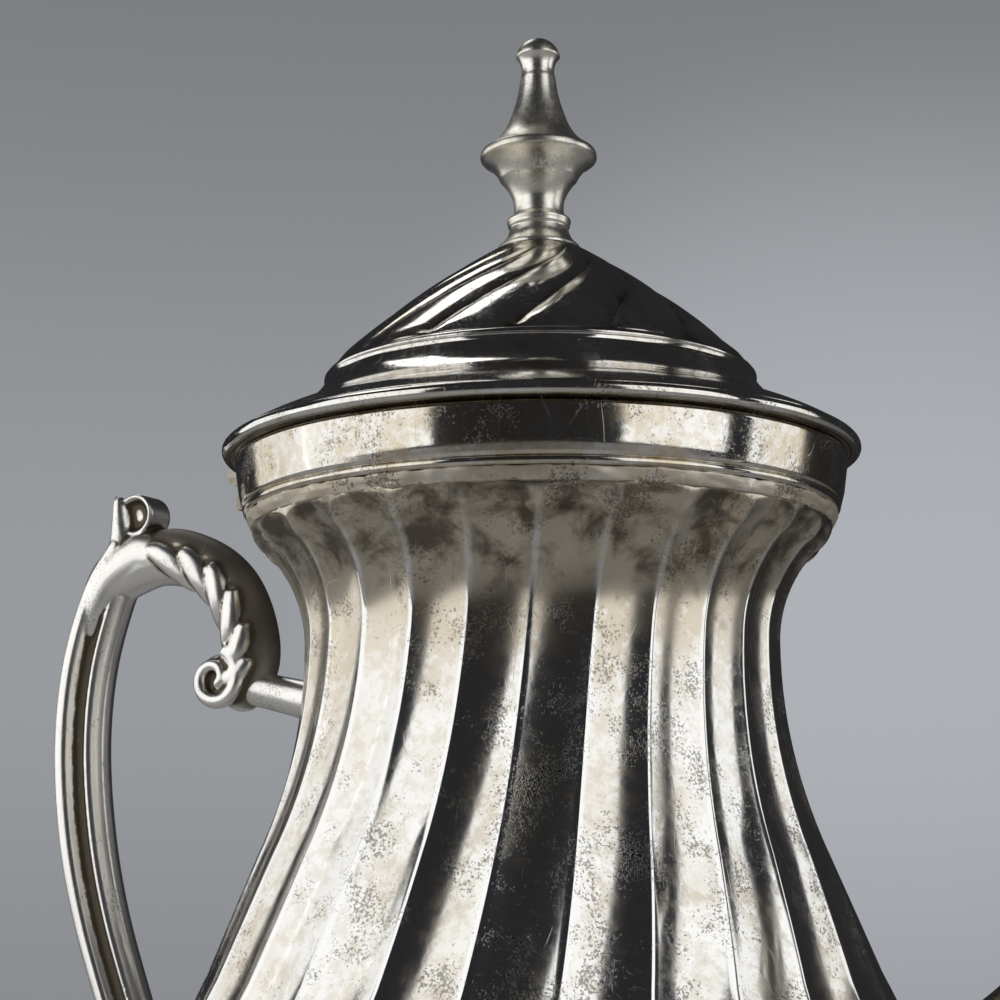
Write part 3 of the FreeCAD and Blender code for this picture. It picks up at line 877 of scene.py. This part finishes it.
# ---------------------------------------------------------------- cast limbs
def limb_frame(line: np.ndarray, side: Side, turn: float) -> tuple[np.ndarray, np.ndarray, np.ndarray]:
    """Centres, tangents and normals of a limb that lies in the pot's middle plane.

    Args:
        line: rows of (out, height, ...) in millimetres.
        side: side of the pot.
        turn: 1 where the limb's outer face is on the left of its run in (out, height), -1 on the right.

    Returns:
        Arrays of centres, tangents and outward normals.
    """
    along = np.gradient(line[:, :2], axis=0)
    along /= np.linalg.norm(along, axis=1, keepdims=True)
    flat = np.stack([-along[:, 1], along[:, 0]], axis=1) * turn
    zero = np.zeros(len(line))
    centres = np.stack([line[:, 0] * side.value, zero, line[:, 1]], axis=1)
    tangents = np.stack([along[:, 0] * side.value, zero, along[:, 1]], axis=1)
    normals = np.stack([flat[:, 0] * side.value, zero, flat[:, 1]], axis=1)
    return centres, tangents, normals


class Shells:
    """Closed shells gathered before they are fused into one casting."""

    def __init__(self) -> None:
        """Starts empty."""
        self.verts: list[np.ndarray] = []
        self.faces: list[Sequence[int]] = []
        self.size = 0

    def add_rings(self, rings: np.ndarray) -> None:
        """Adds a closed shell from rings of points.

        Args:
            rings: an array of (rings, points, 3), in millimetres.
        """
        count, per = rings.shape[:2]
        ends = np.stack([rings[0].mean(axis=0), rings[-1].mean(axis=0)])
        self.verts += [rings.reshape(-1, 3), ends]
        first = self.size
        self.faces += grid_faces(count, per, first)
        start, end, last = first + count * per, first + count * per + 1, first + (count - 1) * per
        for j in range(per):
            k = (j + 1) % per
            self.faces += [(first + j, first + k, start), (last + k, last + j, end)]
        self.size += count * per + 2

    def add_limb(
        self, stations: Sequence[Corner], section: np.ndarray, side: Side, turn: float, per_span: int = 8
    ) -> None:
        """Adds a limb swept along stations.

        Args:
            stations: rows of (out, height, half thickness, half width).
            section: rows of (thickness share, width share).
            side: side of the pot.
            turn: see limb_frame.
            per_span: samples between stations.
        """
        line = smooth_path(stations, per_span)
        centres, _, normals = limb_frame(line, side, turn)
        wide = np.array([0.0, 1.0, 0.0])
        rings = (
            centres[:, None, :]
            + section[None, :, 0, None] * line[:, 2][:, None, None] * normals[:, None, :]
            + section[None, :, 1, None] * line[:, 3][:, None, None] * wide
        )
        self.add_rings(rings)

    def add_tube(self, path: np.ndarray, radii: np.ndarray, flat: float = 1.0, per: int = 14) -> None:
        """Adds a tube along points.

        Args:
            path: rows of x, y, z in millimetres.
            radii: one radius per point.
            flat: size across the pot's middle plane against the size along it.
            per: points in each ring.
        """
        along = np.gradient(path, axis=0)
        along /= np.linalg.norm(along, axis=1, keepdims=True)
        side = np.cross(along, np.array([0.0, 1.0, 0.0]))
        side /= np.linalg.norm(side, axis=1, keepdims=True) + 1e-9
        up = np.cross(side, along)
        turn = np.linspace(0.0, 2.0 * math.pi, per, endpoint=False)
        rings = (
            path[:, None, :]
            + radii[:, None, None] * np.cos(turn)[None, :, None] * side[:, None, :]
            + flat * radii[:, None, None] * np.sin(turn)[None, :, None] * up[:, None, :]
        )
        self.add_rings(rings)

    def add_roller(self, out: float, height: float, outline: Sequence[Corner], side: Side, per: int = 40) -> None:
        """Adds a piece turned about a line along Y.

        Args:
            out: distance of the line from the pot's axis.
            height: height of the line.
            outline: rows of (y, radius).
            side: side of the pot.
            per: points in each ring.
        """
        turn = np.linspace(0.0, 2.0 * math.pi, per, endpoint=False)
        rings = [
            np.stack([out * side.value + r * np.cos(turn), np.full(per, y), height + r * np.sin(turn)], axis=1)
            for y, r in outline
        ]
        self.add_rings(np.array(rings))

    def fuse(self, name: str, voxel: float, rounds: int) -> bpy.types.Object:
        """Joins the shells into one cast skin and marks its hollows and high spots.

        Args:
            name: the piece's name.
            voxel: size of the remesh cells, in millimetres.
            rounds: smoothing rounds.

        Returns:
            The object.
        """
        piece = new_object(name, np.vstack(self.verts), self.faces)
        mesh = bmesh.new()
        mesh.from_mesh(piece.data)
        bmesh.ops.recalc_face_normals(mesh, faces=mesh.faces)
        mesh.to_mesh(piece.data)
        mesh.free()
        remesh = piece.modifiers.new("cast", "REMESH")
        remesh.mode = "VOXEL"
        remesh.voxel_size = voxel * MM
        remesh.use_smooth_shade = True
        soften = piece.modifiers.new("soften", "SMOOTH")
        soften.factor = 0.5
        soften.iterations = rounds
        apply_stack(piece)
        mark_hollows(piece)
        return piece


def mark_hollows(piece: bpy.types.Object, rounds: int = 7) -> None:
    """Stores how hollow and how proud each point of a mesh is.

    Args:
        piece: the mesh object.
        rounds: how far the measure spreads.
    """
    mesh = piece.data
    count = len(mesh.vertices)
    co = np.empty(count * 3)
    mesh.vertices.foreach_get("co", co)
    co = co.reshape(-1, 3)
    normals = np.empty(count * 3)
    mesh.vertex_normals.foreach_get("vector", normals)
    normals = normals.reshape(-1, 3)
    edges = np.empty(len(mesh.edges) * 2, int)
    mesh.edges.foreach_get("vertices", edges)
    a, b = edges.reshape(-1, 2).T
    degree = np.bincount(np.concatenate([a, b]), minlength=count).clip(1)

    def average(values: np.ndarray) -> np.ndarray:
        """Mean over each point's neighbours."""
        total = np.zeros_like(values)
        np.add.at(total, a, values[b])
        np.add.at(total, b, values[a])
        return total / (degree if values.ndim == 1 else degree[:, None])

    spread = co
    for _ in range(rounds):
        spread = average(spread)
    hollow = np.einsum("ij,ij->i", spread - co, normals)
    for _ in range(3):
        hollow = average(hollow)
    scale = float(np.percentile(np.abs(hollow), 88)) or 1.0
    store(piece, "tarnish_and_shade", np.clip(hollow / scale, 0.0, 1.0))
    store(piece, "worn", np.clip(-hollow / scale, 0.0, 1.0))


def oval_section(count: int = 32) -> np.ndarray:
    """Plain oval section as rows of (thickness share, width share)."""
    turn = np.linspace(0.0, 2.0 * math.pi, count, endpoint=False)
    return np.stack([np.cos(turn), np.sin(turn)], axis=1)


def mirrored(half: Sequence[Corner]) -> np.ndarray:
    """Closed section from its half on the +Y side.

    Args:
        half: rows of (thickness share, width share), whose first and last rows lie on the middle plane.

    Returns:
        The closed section's rows.
    """
    near = [tuple(p) for p in half]
    far = [(p, -q) for p, q in near[-2:0:-1]]
    return np.array(near + far, float)


@dataclass
class Handle:
    """Cast handle: C-shaped grip with side grooves, leafed arch, volute, thumb scroll, strut and pad."""

    silver: bpy.types.Material
    vessel: Vessel
    grip: tuple[Corner, ...] = (
        (75.0, 192.0, 3.1, 3.9), (79.6, 184.5, 3.7, 4.2), (83.2, 173.0, 3.9, 4.3), (84.2, 160.0, 3.9, 4.4),
        (82.7, 146.0, 3.9, 4.4), (79.4, 133.0, 3.8, 4.3), (74.2, 119.6, 3.7, 4.2), (68.0, 105.5, 3.6, 4.0),
        (61.0, 90.0, 3.6, 3.9),
    )
    arch: tuple[Corner, ...] = (
        (78.0, 186.5, 3.2, 3.7), (69.5, 190.2, 4.6, 3.9), (61.5, 188.8, 4.5, 3.9), (55.2, 184.6, 4.4, 4.0),
        (51.6, 178.0, 4.3, 3.9), (50.9, 171.5, 4.0, 3.7), (54.0, 166.2, 2.6, 3.4),
    )
    thumb: tuple[Corner, ...] = (
        (78.0, 187.0, 3.6, 3.9), (76.4, 192.5, 3.0, 3.6), (76.4, 196.6, 2.2, 3.6), (76.6, 199.6, 1.8, 3.4),
        (76.4, 200.6, 1.6, 3.0),
    )
    knot: tuple[Corner, ...] = (
        (82.3, 178.0, 1.8, 2.9), (81.2, 182.4, 3.5, 4.1), (78.6, 187.2, 4.5, 4.3), (73.2, 190.4, 4.6, 4.2),
        (69.5, 190.4, 4.2, 4.0),
    )
    voxel: float = 0.3

    def _leaves(self, shells: Shells) -> None:
        """Overlapping leaf lobes along both sides of the arch."""
        line = smooth_path(self.arch, 24)
        centres, _, normals = limb_frame(line, Side.HANDLE, -1.0)
        count = 6
        for number in range(count):
            start = 0.17 + 0.76 * number / count
            span = 0.23
            t = np.linspace(0.0, 1.0, 13)
            spot = np.clip(start + span * t, 0.0, 1.0) * (len(line) - 1)
            low = np.floor(spot).astype(int).clip(0, len(line) - 2)
            part = (spot - low)[:, None]
            centre = centres[low] * (1 - part) + centres[low + 1] * part
            normal = normals[low] * (1 - part) + normals[low + 1] * part
            thick = np.interp(spot, np.arange(len(line)), line[:, 2])
            wide = np.interp(spot, np.arange(len(line)), line[:, 3])
            drift = 0.22 - 1.10 * t
            belly = np.sin(np.pi * np.clip(t * 0.90 + 0.10, 0.0, 1.0)) ** 0.7
            radii = 0.55 + 1.55 * belly
            out = wide * np.sqrt(np.clip(1.0 - drift**2 * 0.8, 0.05, 1.0)) * 0.84
            for sign in (1.0, -1.0):
                path = centre + normal * (drift * thick)[:, None]
                path = path + np.array([0.0, 1.0, 0.0]) * (sign * out)[:, None]
                shells.add_tube(path, radii, flat=0.85)

    def _volute(self, shells: Shells) -> None:
        """Curled end of the arch, with a raised spiral on each side."""
        out, height = 55.7, 169.6
        shells.add_roller(out, height, ((-3.2, 3.4), (-2.9, 3.9), (2.9, 3.9), (3.2, 3.4)), Side.HANDLE)
        t = np.linspace(0.0, 1.0, 60)
        angle = math.radians(70.0) - t * math.radians(500.0)
        reach = 4.7 * (1.0 - t) + 0.9 * t
        radii = 1.4 * (1.0 - t) + 0.8 * t
        for sign in (1.0, -1.0):
            x = -out + reach * np.cos(angle)
            z = height + reach * np.sin(angle)
            y = sign * (3.3 + 0.7 * t)
            shells.add_tube(np.stack([x, y, z], axis=1), radii)

    def _thumb_scroll(self, shells: Shells) -> None:
        """Thumb rest: a small roll with sunk, rimmed ends."""
        roll = (
            (-1.6, 0.3), (-1.6, 2.0), (-2.2, 2.5), (-2.7, 2.8), (-2.85, 3.15), (-2.6, 3.5), (2.6, 3.5), (2.85, 3.15),
            (2.7, 2.8), (2.2, 2.5), (1.6, 2.0), (1.6, 0.3),
        )
        shells.add_roller(73.4, 197.3, roll, Side.HANDLE)

    def _darken_back(self, piece: bpy.types.Object) -> None:
        """Adds old tarnish on the arch's outer back, where a polishing cloth seldom reaches.

        Args:
            piece: the finished casting.
        """
        line = smooth_path(self.arch, 12)
        centres, _, normals = limb_frame(line, Side.HANDLE, -1.0)
        count = len(piece.data.vertices)
        co = np.empty(count * 3)
        piece.data.vertices.foreach_get("co", co)
        co = co.reshape(-1, 3) / MM
        marks = np.empty(count, np.float32)
        piece.data.attributes["tarnish_and_shade"].data.foreach_get("value", marks)
        gap = np.linalg.norm(co[:, None, :] - centres[None, :, :], axis=2)
        near = gap.argmin(axis=1)
        rise = np.einsum("ij,ij->i", co - centres[near], normals[near]) / line[near, 2]
        inner = smooth_step(0.15, 0.75, rise) * smooth_step(1.45, 1.25, gap.min(axis=1) / line[near, 2])
        inner = inner * smooth_step(74.0, 66.0, -co[:, 0])
        marks = np.clip(marks + 1.1 * inner, 0.0, 1.4).astype(np.float32)
        piece.data.attributes["tarnish_and_shade"].data.foreach_set("value", marks)

    def make_casting(self) -> None:
        """Grip, arch, leaves, volute and thumb scroll in one casting."""
        half = (
            (1.0, 0.0), (0.99, 0.35), (0.93, 0.68), (0.82, 0.88), (0.62, 1.0), (0.34, 1.0), (0.18, 0.90),
            (0.08, 0.72), (-0.02, 0.58), (-0.36, 0.50), (-0.48, 0.58), (-0.56, 0.70), (-0.68, 0.72), (-0.84, 0.62),
            (-1.0, 0.42), (-1.1, 0.2), (-1.1, 0.0),
        )
        shells = Shells()
        shells.add_limb(self.grip, mirrored(half), Side.HANDLE, 1.0)
        shells.add_limb(self.arch, oval_section(), Side.HANDLE, -1.0)
        shells.add_limb(self.thumb, oval_section(), Side.HANDLE, 1.0)
        shells.add_limb(self.knot, oval_section(), Side.HANDLE, 1.0)
        self._leaves(shells)
        self._volute(shells)
        self._thumb_scroll(shells)
        piece = shells.fuse("cast_handle", self.voxel, 2)
        self._darken_back(piece)
        dress(piece, self.silver, "cast_silver", "pot", "handle")

    def make_joints(self) -> None:
        """Strut to the neck and pad on the flank."""
        strut = Shells()
        rod = ((53.5, 168.9, 2.7, 2.6), (43.0, 166.4, 2.9, 2.8), (36.0, 164.8, 3.5, 3.4), (34.2, 164.4, 4.2, 4.0))
        strut.add_limb(rod, oval_section(), Side.HANDLE, 1.0)
        piece = strut.fuse("neck_strut", 0.3, 2)
        dress(piece, self.silver, "cast_silver", "pot", "handle_upper_socket")
        pad = Shells()
        base = ((57.6, 86.3, 6.6, 6.2), (59.6, 88.7, 5.6, 5.4), (61.6, 91.2, 5.0, 4.8))
        pad.add_limb(base, oval_section(), Side.HANDLE, 1.0)
        piece = pad.fuse("flank_pad", 0.3, 2)
        dress(piece, self.silver, "cast_silver", "pot", "handle_lower_pad")

    def make(self) -> None:
        """Builds the whole handle."""
        self.make_casting()
        self.make_joints()


@dataclass
class Spout:
    """Swan-neck spout with a lobed root and an open lip."""

    silver: bpy.types.Material
    vessel: Vessel
    stations: tuple[Corner, ...] = (
        (44.0, 92.0, 20.0, 16.0), (56.0, 102.5, 15.8, 13.6), (70.0, 115.5, 11.0, 10.5), (82.0, 130.5, 8.6, 8.3),
        (88.5, 146.0, 7.3, 7.0), (93.0, 162.0, 6.5, 6.3), (101.5, 178.5, 6.6, 6.4),
    )
    lobes: int = 10
    columns: int = 120
    rows: int = 90

    def make(self) -> None:
        """Builds the spout, trimmed to the body's side."""
        line = smooth_path(self.stations, 40)
        centres, _, normals = limb_frame(line, Side.SPOUT, 1.0)
        turn = np.linspace(0.0, 2.0 * math.pi, self.columns, endpoint=False)
        wave = np.abs(np.sin(self.lobes * turn / 2.0)) ** 0.7
        count = len(line)
        share = np.linspace(0.0, 1.0, count)
        fade = smooth_step(0.92, 0.35, share)
        shrink = 1.0 - 0.075 * fade[:, None] * (1.0 - wave[None, :])
        grid = (
            centres[:, None, :]
            + (np.cos(turn)[None, :] * shrink * line[:, 2][:, None])[:, :, None] * normals[:, None, :]
            + (np.sin(turn)[None, :] * shrink * line[:, 3][:, None])[:, :, None] * np.array([0.0, 1.0, 0.0])
        )
        heights = np.linspace(40.0, 185.0, 300)
        skin = np.array([self.vessel.profile_radius(h) for h in heights]) - 0.9
        out = np.empty((self.rows, self.columns, 3))
        for j in range(self.columns):
            column = grid[:, j]
            gap = np.hypot(column[:, 0], column[:, 1]) - np.interp(column[:, 2], heights, skin)
            inside = np.nonzero(gap < 0.0)[0]
            first = float(inside[-1]) if len(inside) else 0.0
            if len(inside) and inside[-1] + 1 < count:
                k = inside[-1]
                first += gap[k] / (gap[k] - gap[k + 1])
            spots = first + (count - 1 - first) * np.linspace(0.0, 1.0, self.rows)
            for axis in range(3):
                out[:, j, axis] = np.interp(spots, np.arange(count), column[:, axis])
        out = out[::-1, ::-1]
        piece = new_object("swan_spout", out.reshape(-1, 3), grid_faces(self.rows, self.columns))
        mesh = bmesh.new()
        mesh.from_mesh(piece.data)
        bmesh.ops.recalc_face_normals(mesh, faces=mesh.faces)
        mesh.to_mesh(piece.data)
        mesh.free()
        dips = np.tile((1.0 - wave)[::-1], self.rows) * np.repeat(np.linspace(0.0, 1.0, self.rows), self.columns)
        store(piece, "tarnish_and_shade", 0.5 * dips + 0.2)
        store(piece, "worn", np.zeros(len(dips)))
        wavy(piece, 0.12, 18.0)
        sheet_wall(piece, 1.1)
        dress(piece, self.silver, "plated_body", "pot", "spout")


# ---------------------------------------------------------------- studio
@dataclass(frozen=True)
class Softbox:
    """Soft studio panel, placed by its bearing from the lens as seen from the pot."""

    name: str
    bearing: float
    distance: float
    width: float
    height: float
    centre: float
    brightness: float
    tint: Colour = (1.0, 0.995, 0.98)

    def build(self, lens_bearing: float) -> None:
        """Makes the panel and aims it at the pot.

        Args:
            lens_bearing: polar angle of the camera round the pot, in degrees.
        """
        light = bpy.data.lights.new(self.name, "AREA")
        light.shape = "RECTANGLE"
        light.size, light.size_y = self.width, self.height
        light.color = self.tint
        light.energy = self.brightness * math.pi * self.width * self.height
        piece = bpy.data.objects.new(self.name, light)
        angle = math.radians(lens_bearing + self.bearing)
        spot = Vector((math.cos(angle) * self.distance, math.sin(angle) * self.distance, self.centre))
        aim = Vector((0.0, 0.0, self.centre)) if self.centre < 1.0 else Vector((0.0, 0.0, 0.2))
        piece.matrix_world = Matrix.Translation(spot) @ (aim - spot).to_track_quat("-Z", "Y").to_matrix().to_4x4()
        bpy.context.scene.collection.objects.link(piece)


@dataclass
class Studio:
    """Pale floor with a painted pool of light, soft panels, grey surround and the camera."""

    bearing: float = -63.0
    distance: float = 0.299
    lens_height: float = 0.140
    pitch: float = 10.2
    yaw: float = 1.16
    roll: float = 0.2
    lens: float = 73.98
    panels: tuple[Softbox, ...] = (
        Softbox("window_left_near", -66.0, 0.9, 0.92, 1.10, 0.56, 1.08),
        Softbox("window_left_far", -110.0, 0.9, 0.58, 0.62, 0.33, 1.0),
        Softbox("window_right_near", 48.5, 0.9, 0.66, 1.10, 0.56, 1.08),
        Softbox("window_right_far", 94.0, 0.9, 0.46, 0.62, 0.33, 1.0),
        Softbox("overhead", -150.0, 0.75, 0.45, 0.36, 1.30, 1.8),
    )

    def make_camera(self) -> None:
        """Camera that looks slightly up at the pot."""
        data = bpy.data.cameras.new("camera")
        data.lens = self.lens
        data.sensor_width = 36.0
        data.clip_start = 0.01
        camera = bpy.data.objects.new("camera", data)
        angle = math.radians(self.bearing)
        spot = Vector((math.cos(angle) * self.distance, math.sin(angle) * self.distance, self.lens_height))
        head = math.radians(self.bearing + 180.0 + self.yaw)
        tilt = math.radians(self.pitch)
        ahead = Vector((math.cos(head) * math.cos(tilt), math.sin(head) * math.cos(tilt), math.sin(tilt)))
        right = ahead.cross(Vector((0.0, 0.0, 1.0))).normalized()
        up = right.cross(ahead)
        turn = Matrix((right, up, -ahead)).transposed().to_4x4() @ Matrix.Rotation(math.radians(-self.roll), 4, "Z")
        camera.matrix_world = Matrix.Translation(spot) @ turn
        bpy.context.scene.collection.objects.link(camera)
        bpy.context.scene.camera = camera

    def make_floor(self) -> None:
        """Pale floor with a painted pool of light: its colour fades from pale near the pot to grey further out."""
        sides = 96
        radii = (0.8, 0.5, 0.25)
        turn = np.linspace(0.0, 2.0 * math.pi, sides, endpoint=False)
        rings = [np.stack([r * np.cos(turn), r * np.sin(turn), np.zeros(sides)], axis=1) for r in radii]
        verts = np.vstack([*rings, [[0.0, 0.0, 0.0]]])
        middle = len(verts) - 1
        inner = middle - sides
        faces = list(grid_faces(len(radii), sides))
        faces += [(inner + j, middle, inner + (j + 1) % sides) for j in range(sides)]
        floor = new_object("floor", verts, faces, 1.0)
        if floor.data.polygons[0].normal.z < 0.0:
            floor.data.flip_normals()
        material = bpy.data.materials.new("floor_painted_light_pool")
        material.use_nodes = True
        shader = material.node_tree.nodes["Principled BSDF"]
        n = Nodes(material.node_tree)
        place = n.put("ShaderNodeTexCoord").outputs["Object"]
        away = n.put("ShaderNodeVectorMath", {0: place}, operation="LENGTH").outputs["Value"]
        pale = n.blend(n.noise(place, 5.0, 3.0), (0.78, 0.78, 0.78), (0.84, 0.84, 0.84))
        # painted light pool: the floor's colour darkens from 0.2 m to 0.6 m away from the pot
        tone = n.blend(n.ramp(away, 0.20, 0.60), pale, (0.50, 0.50, 0.505))
        n.tree.links.new(tone, shader.inputs["Base Color"])
        shader.inputs["Roughness"].default_value = 0.8
        floor.data.materials.append(material)

    def glow_aim(self) -> tuple[float, float, float]:
        """Direction of the palest part of the room, right of the pot."""
        head = math.radians(self.bearing + 180.0 + self.yaw - 10.5)
        rise = math.radians(6.5)
        return (math.cos(head) * math.cos(rise), math.sin(head) * math.cos(rise), math.sin(rise))

    def make_surround(self) -> None:
        """Grey room, paler where a lens sees it and dim in the metal's reflections."""
        world = bpy.data.worlds.new("room")
        bpy.context.scene.world = world
        world.use_nodes = True
        world.node_tree.nodes.clear()
        n = Nodes(world.node_tree)
        aim = n.put("ShaderNodeTexCoord").outputs["Generated"]
        parts = n.put("ShaderNodeSeparateXYZ", {0: aim}).outputs
        low = n.ramp(parts[2], -0.08, 0.10, (0.265, 0.325))
        high = n.ramp(parts[2], 0.46, 0.12, (0.62, 1.0))
        facing = n.put("ShaderNodeVectorMath", {0: aim, 1: self.glow_aim()}, operation="DOT_PRODUCT")
        glow_at = facing.outputs["Value"]
        glow = n.ramp(glow_at, 0.955, 0.998, (0.0, 0.115))
        level = n.math("ADD", n.math("MULTIPLY", low, high), glow)
        red, blue = n.math("MULTIPLY", level, 0.965), n.math("MULTIPLY", level, 1.06)
        grey = n.put("ShaderNodeCombineColor", {0: red, 1: level, 2: blue})
        seen = n.put("ShaderNodeLightPath").outputs["Is Camera Ray"]
        tone = n.blend(seen, (0.022, 0.022, 0.024), grey.outputs[0])
        back = n.put("ShaderNodeBackground", {"Color": tone, "Strength": 1.0})
        n.put("ShaderNodeOutputWorld", {"Surface": back.outputs[0]})

    def make(self) -> None:
        """Builds the studio."""
        self.make_floor()
        self.make_surround()
        for panel in self.panels:
            panel.build(self.bearing)
        bpy.context.scene.view_settings.view_transform = "Standard"


# ---------------------------------------------------------------- carried-over nodes
FITTINGS = {
    "finial_stud": "brass", "finial_washer": "brass", "finial_nut": "brass", "hinge_pin": "hinge",
    "hinge_body_leaf": "hinge", "hinge_lid_leaf": "hinge",
}


def dress_fittings(nodes: dict[str, bpy.types.Object], finishes: dict[str, bpy.types.Material]) -> None:
    """Gives the small fittings their finishes.

    Args:
        nodes: the CAD nodes by name.
        finishes: finish key to material.
    """
    for name, key in FITTINGS.items():
        fitting = nodes[name]
        for spot in range(max(1, len(fitting.material_slots))):
            if spot >= len(fitting.material_slots):
                fitting.data.materials.append(finishes[key])
            else:
                fitting.material_slots[spot].material = finishes[key]
        LOG.info("%s: %s finish", name, key)


def main() -> None:
    """Builds the pot's visual pieces, the studio and the camera."""
    logging.basicConfig(level=logging.INFO, format="%(name)s: %(message)s")
    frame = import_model()
    studio = Studio()
    studio.make_camera()
    effects = WearEffects()
    metal = {finish.name: finish.build(effects) for finish in FINISHES}

    shells = tuple(name for name in frame["nodes"] if name.startswith("body_"))
    vessel = Vessel(metal["swirl_plate"], metal["collar_plate"], metal["rough_solder"], shells)
    vessel.make()
    Lid(metal["lid_plate"], metal["lid_plate"], metal["finial_plate"]).make()
    Handle(metal["cast_plate"], vessel).make()
    Spout(metal["swirl_plate"], vessel).make()
    dress_fittings(frame["nodes"], {"brass": metal["fixing_brass"], "hinge": metal["hinge_plate"]})
    studio.make()


if __name__ == "__main__":
    main()
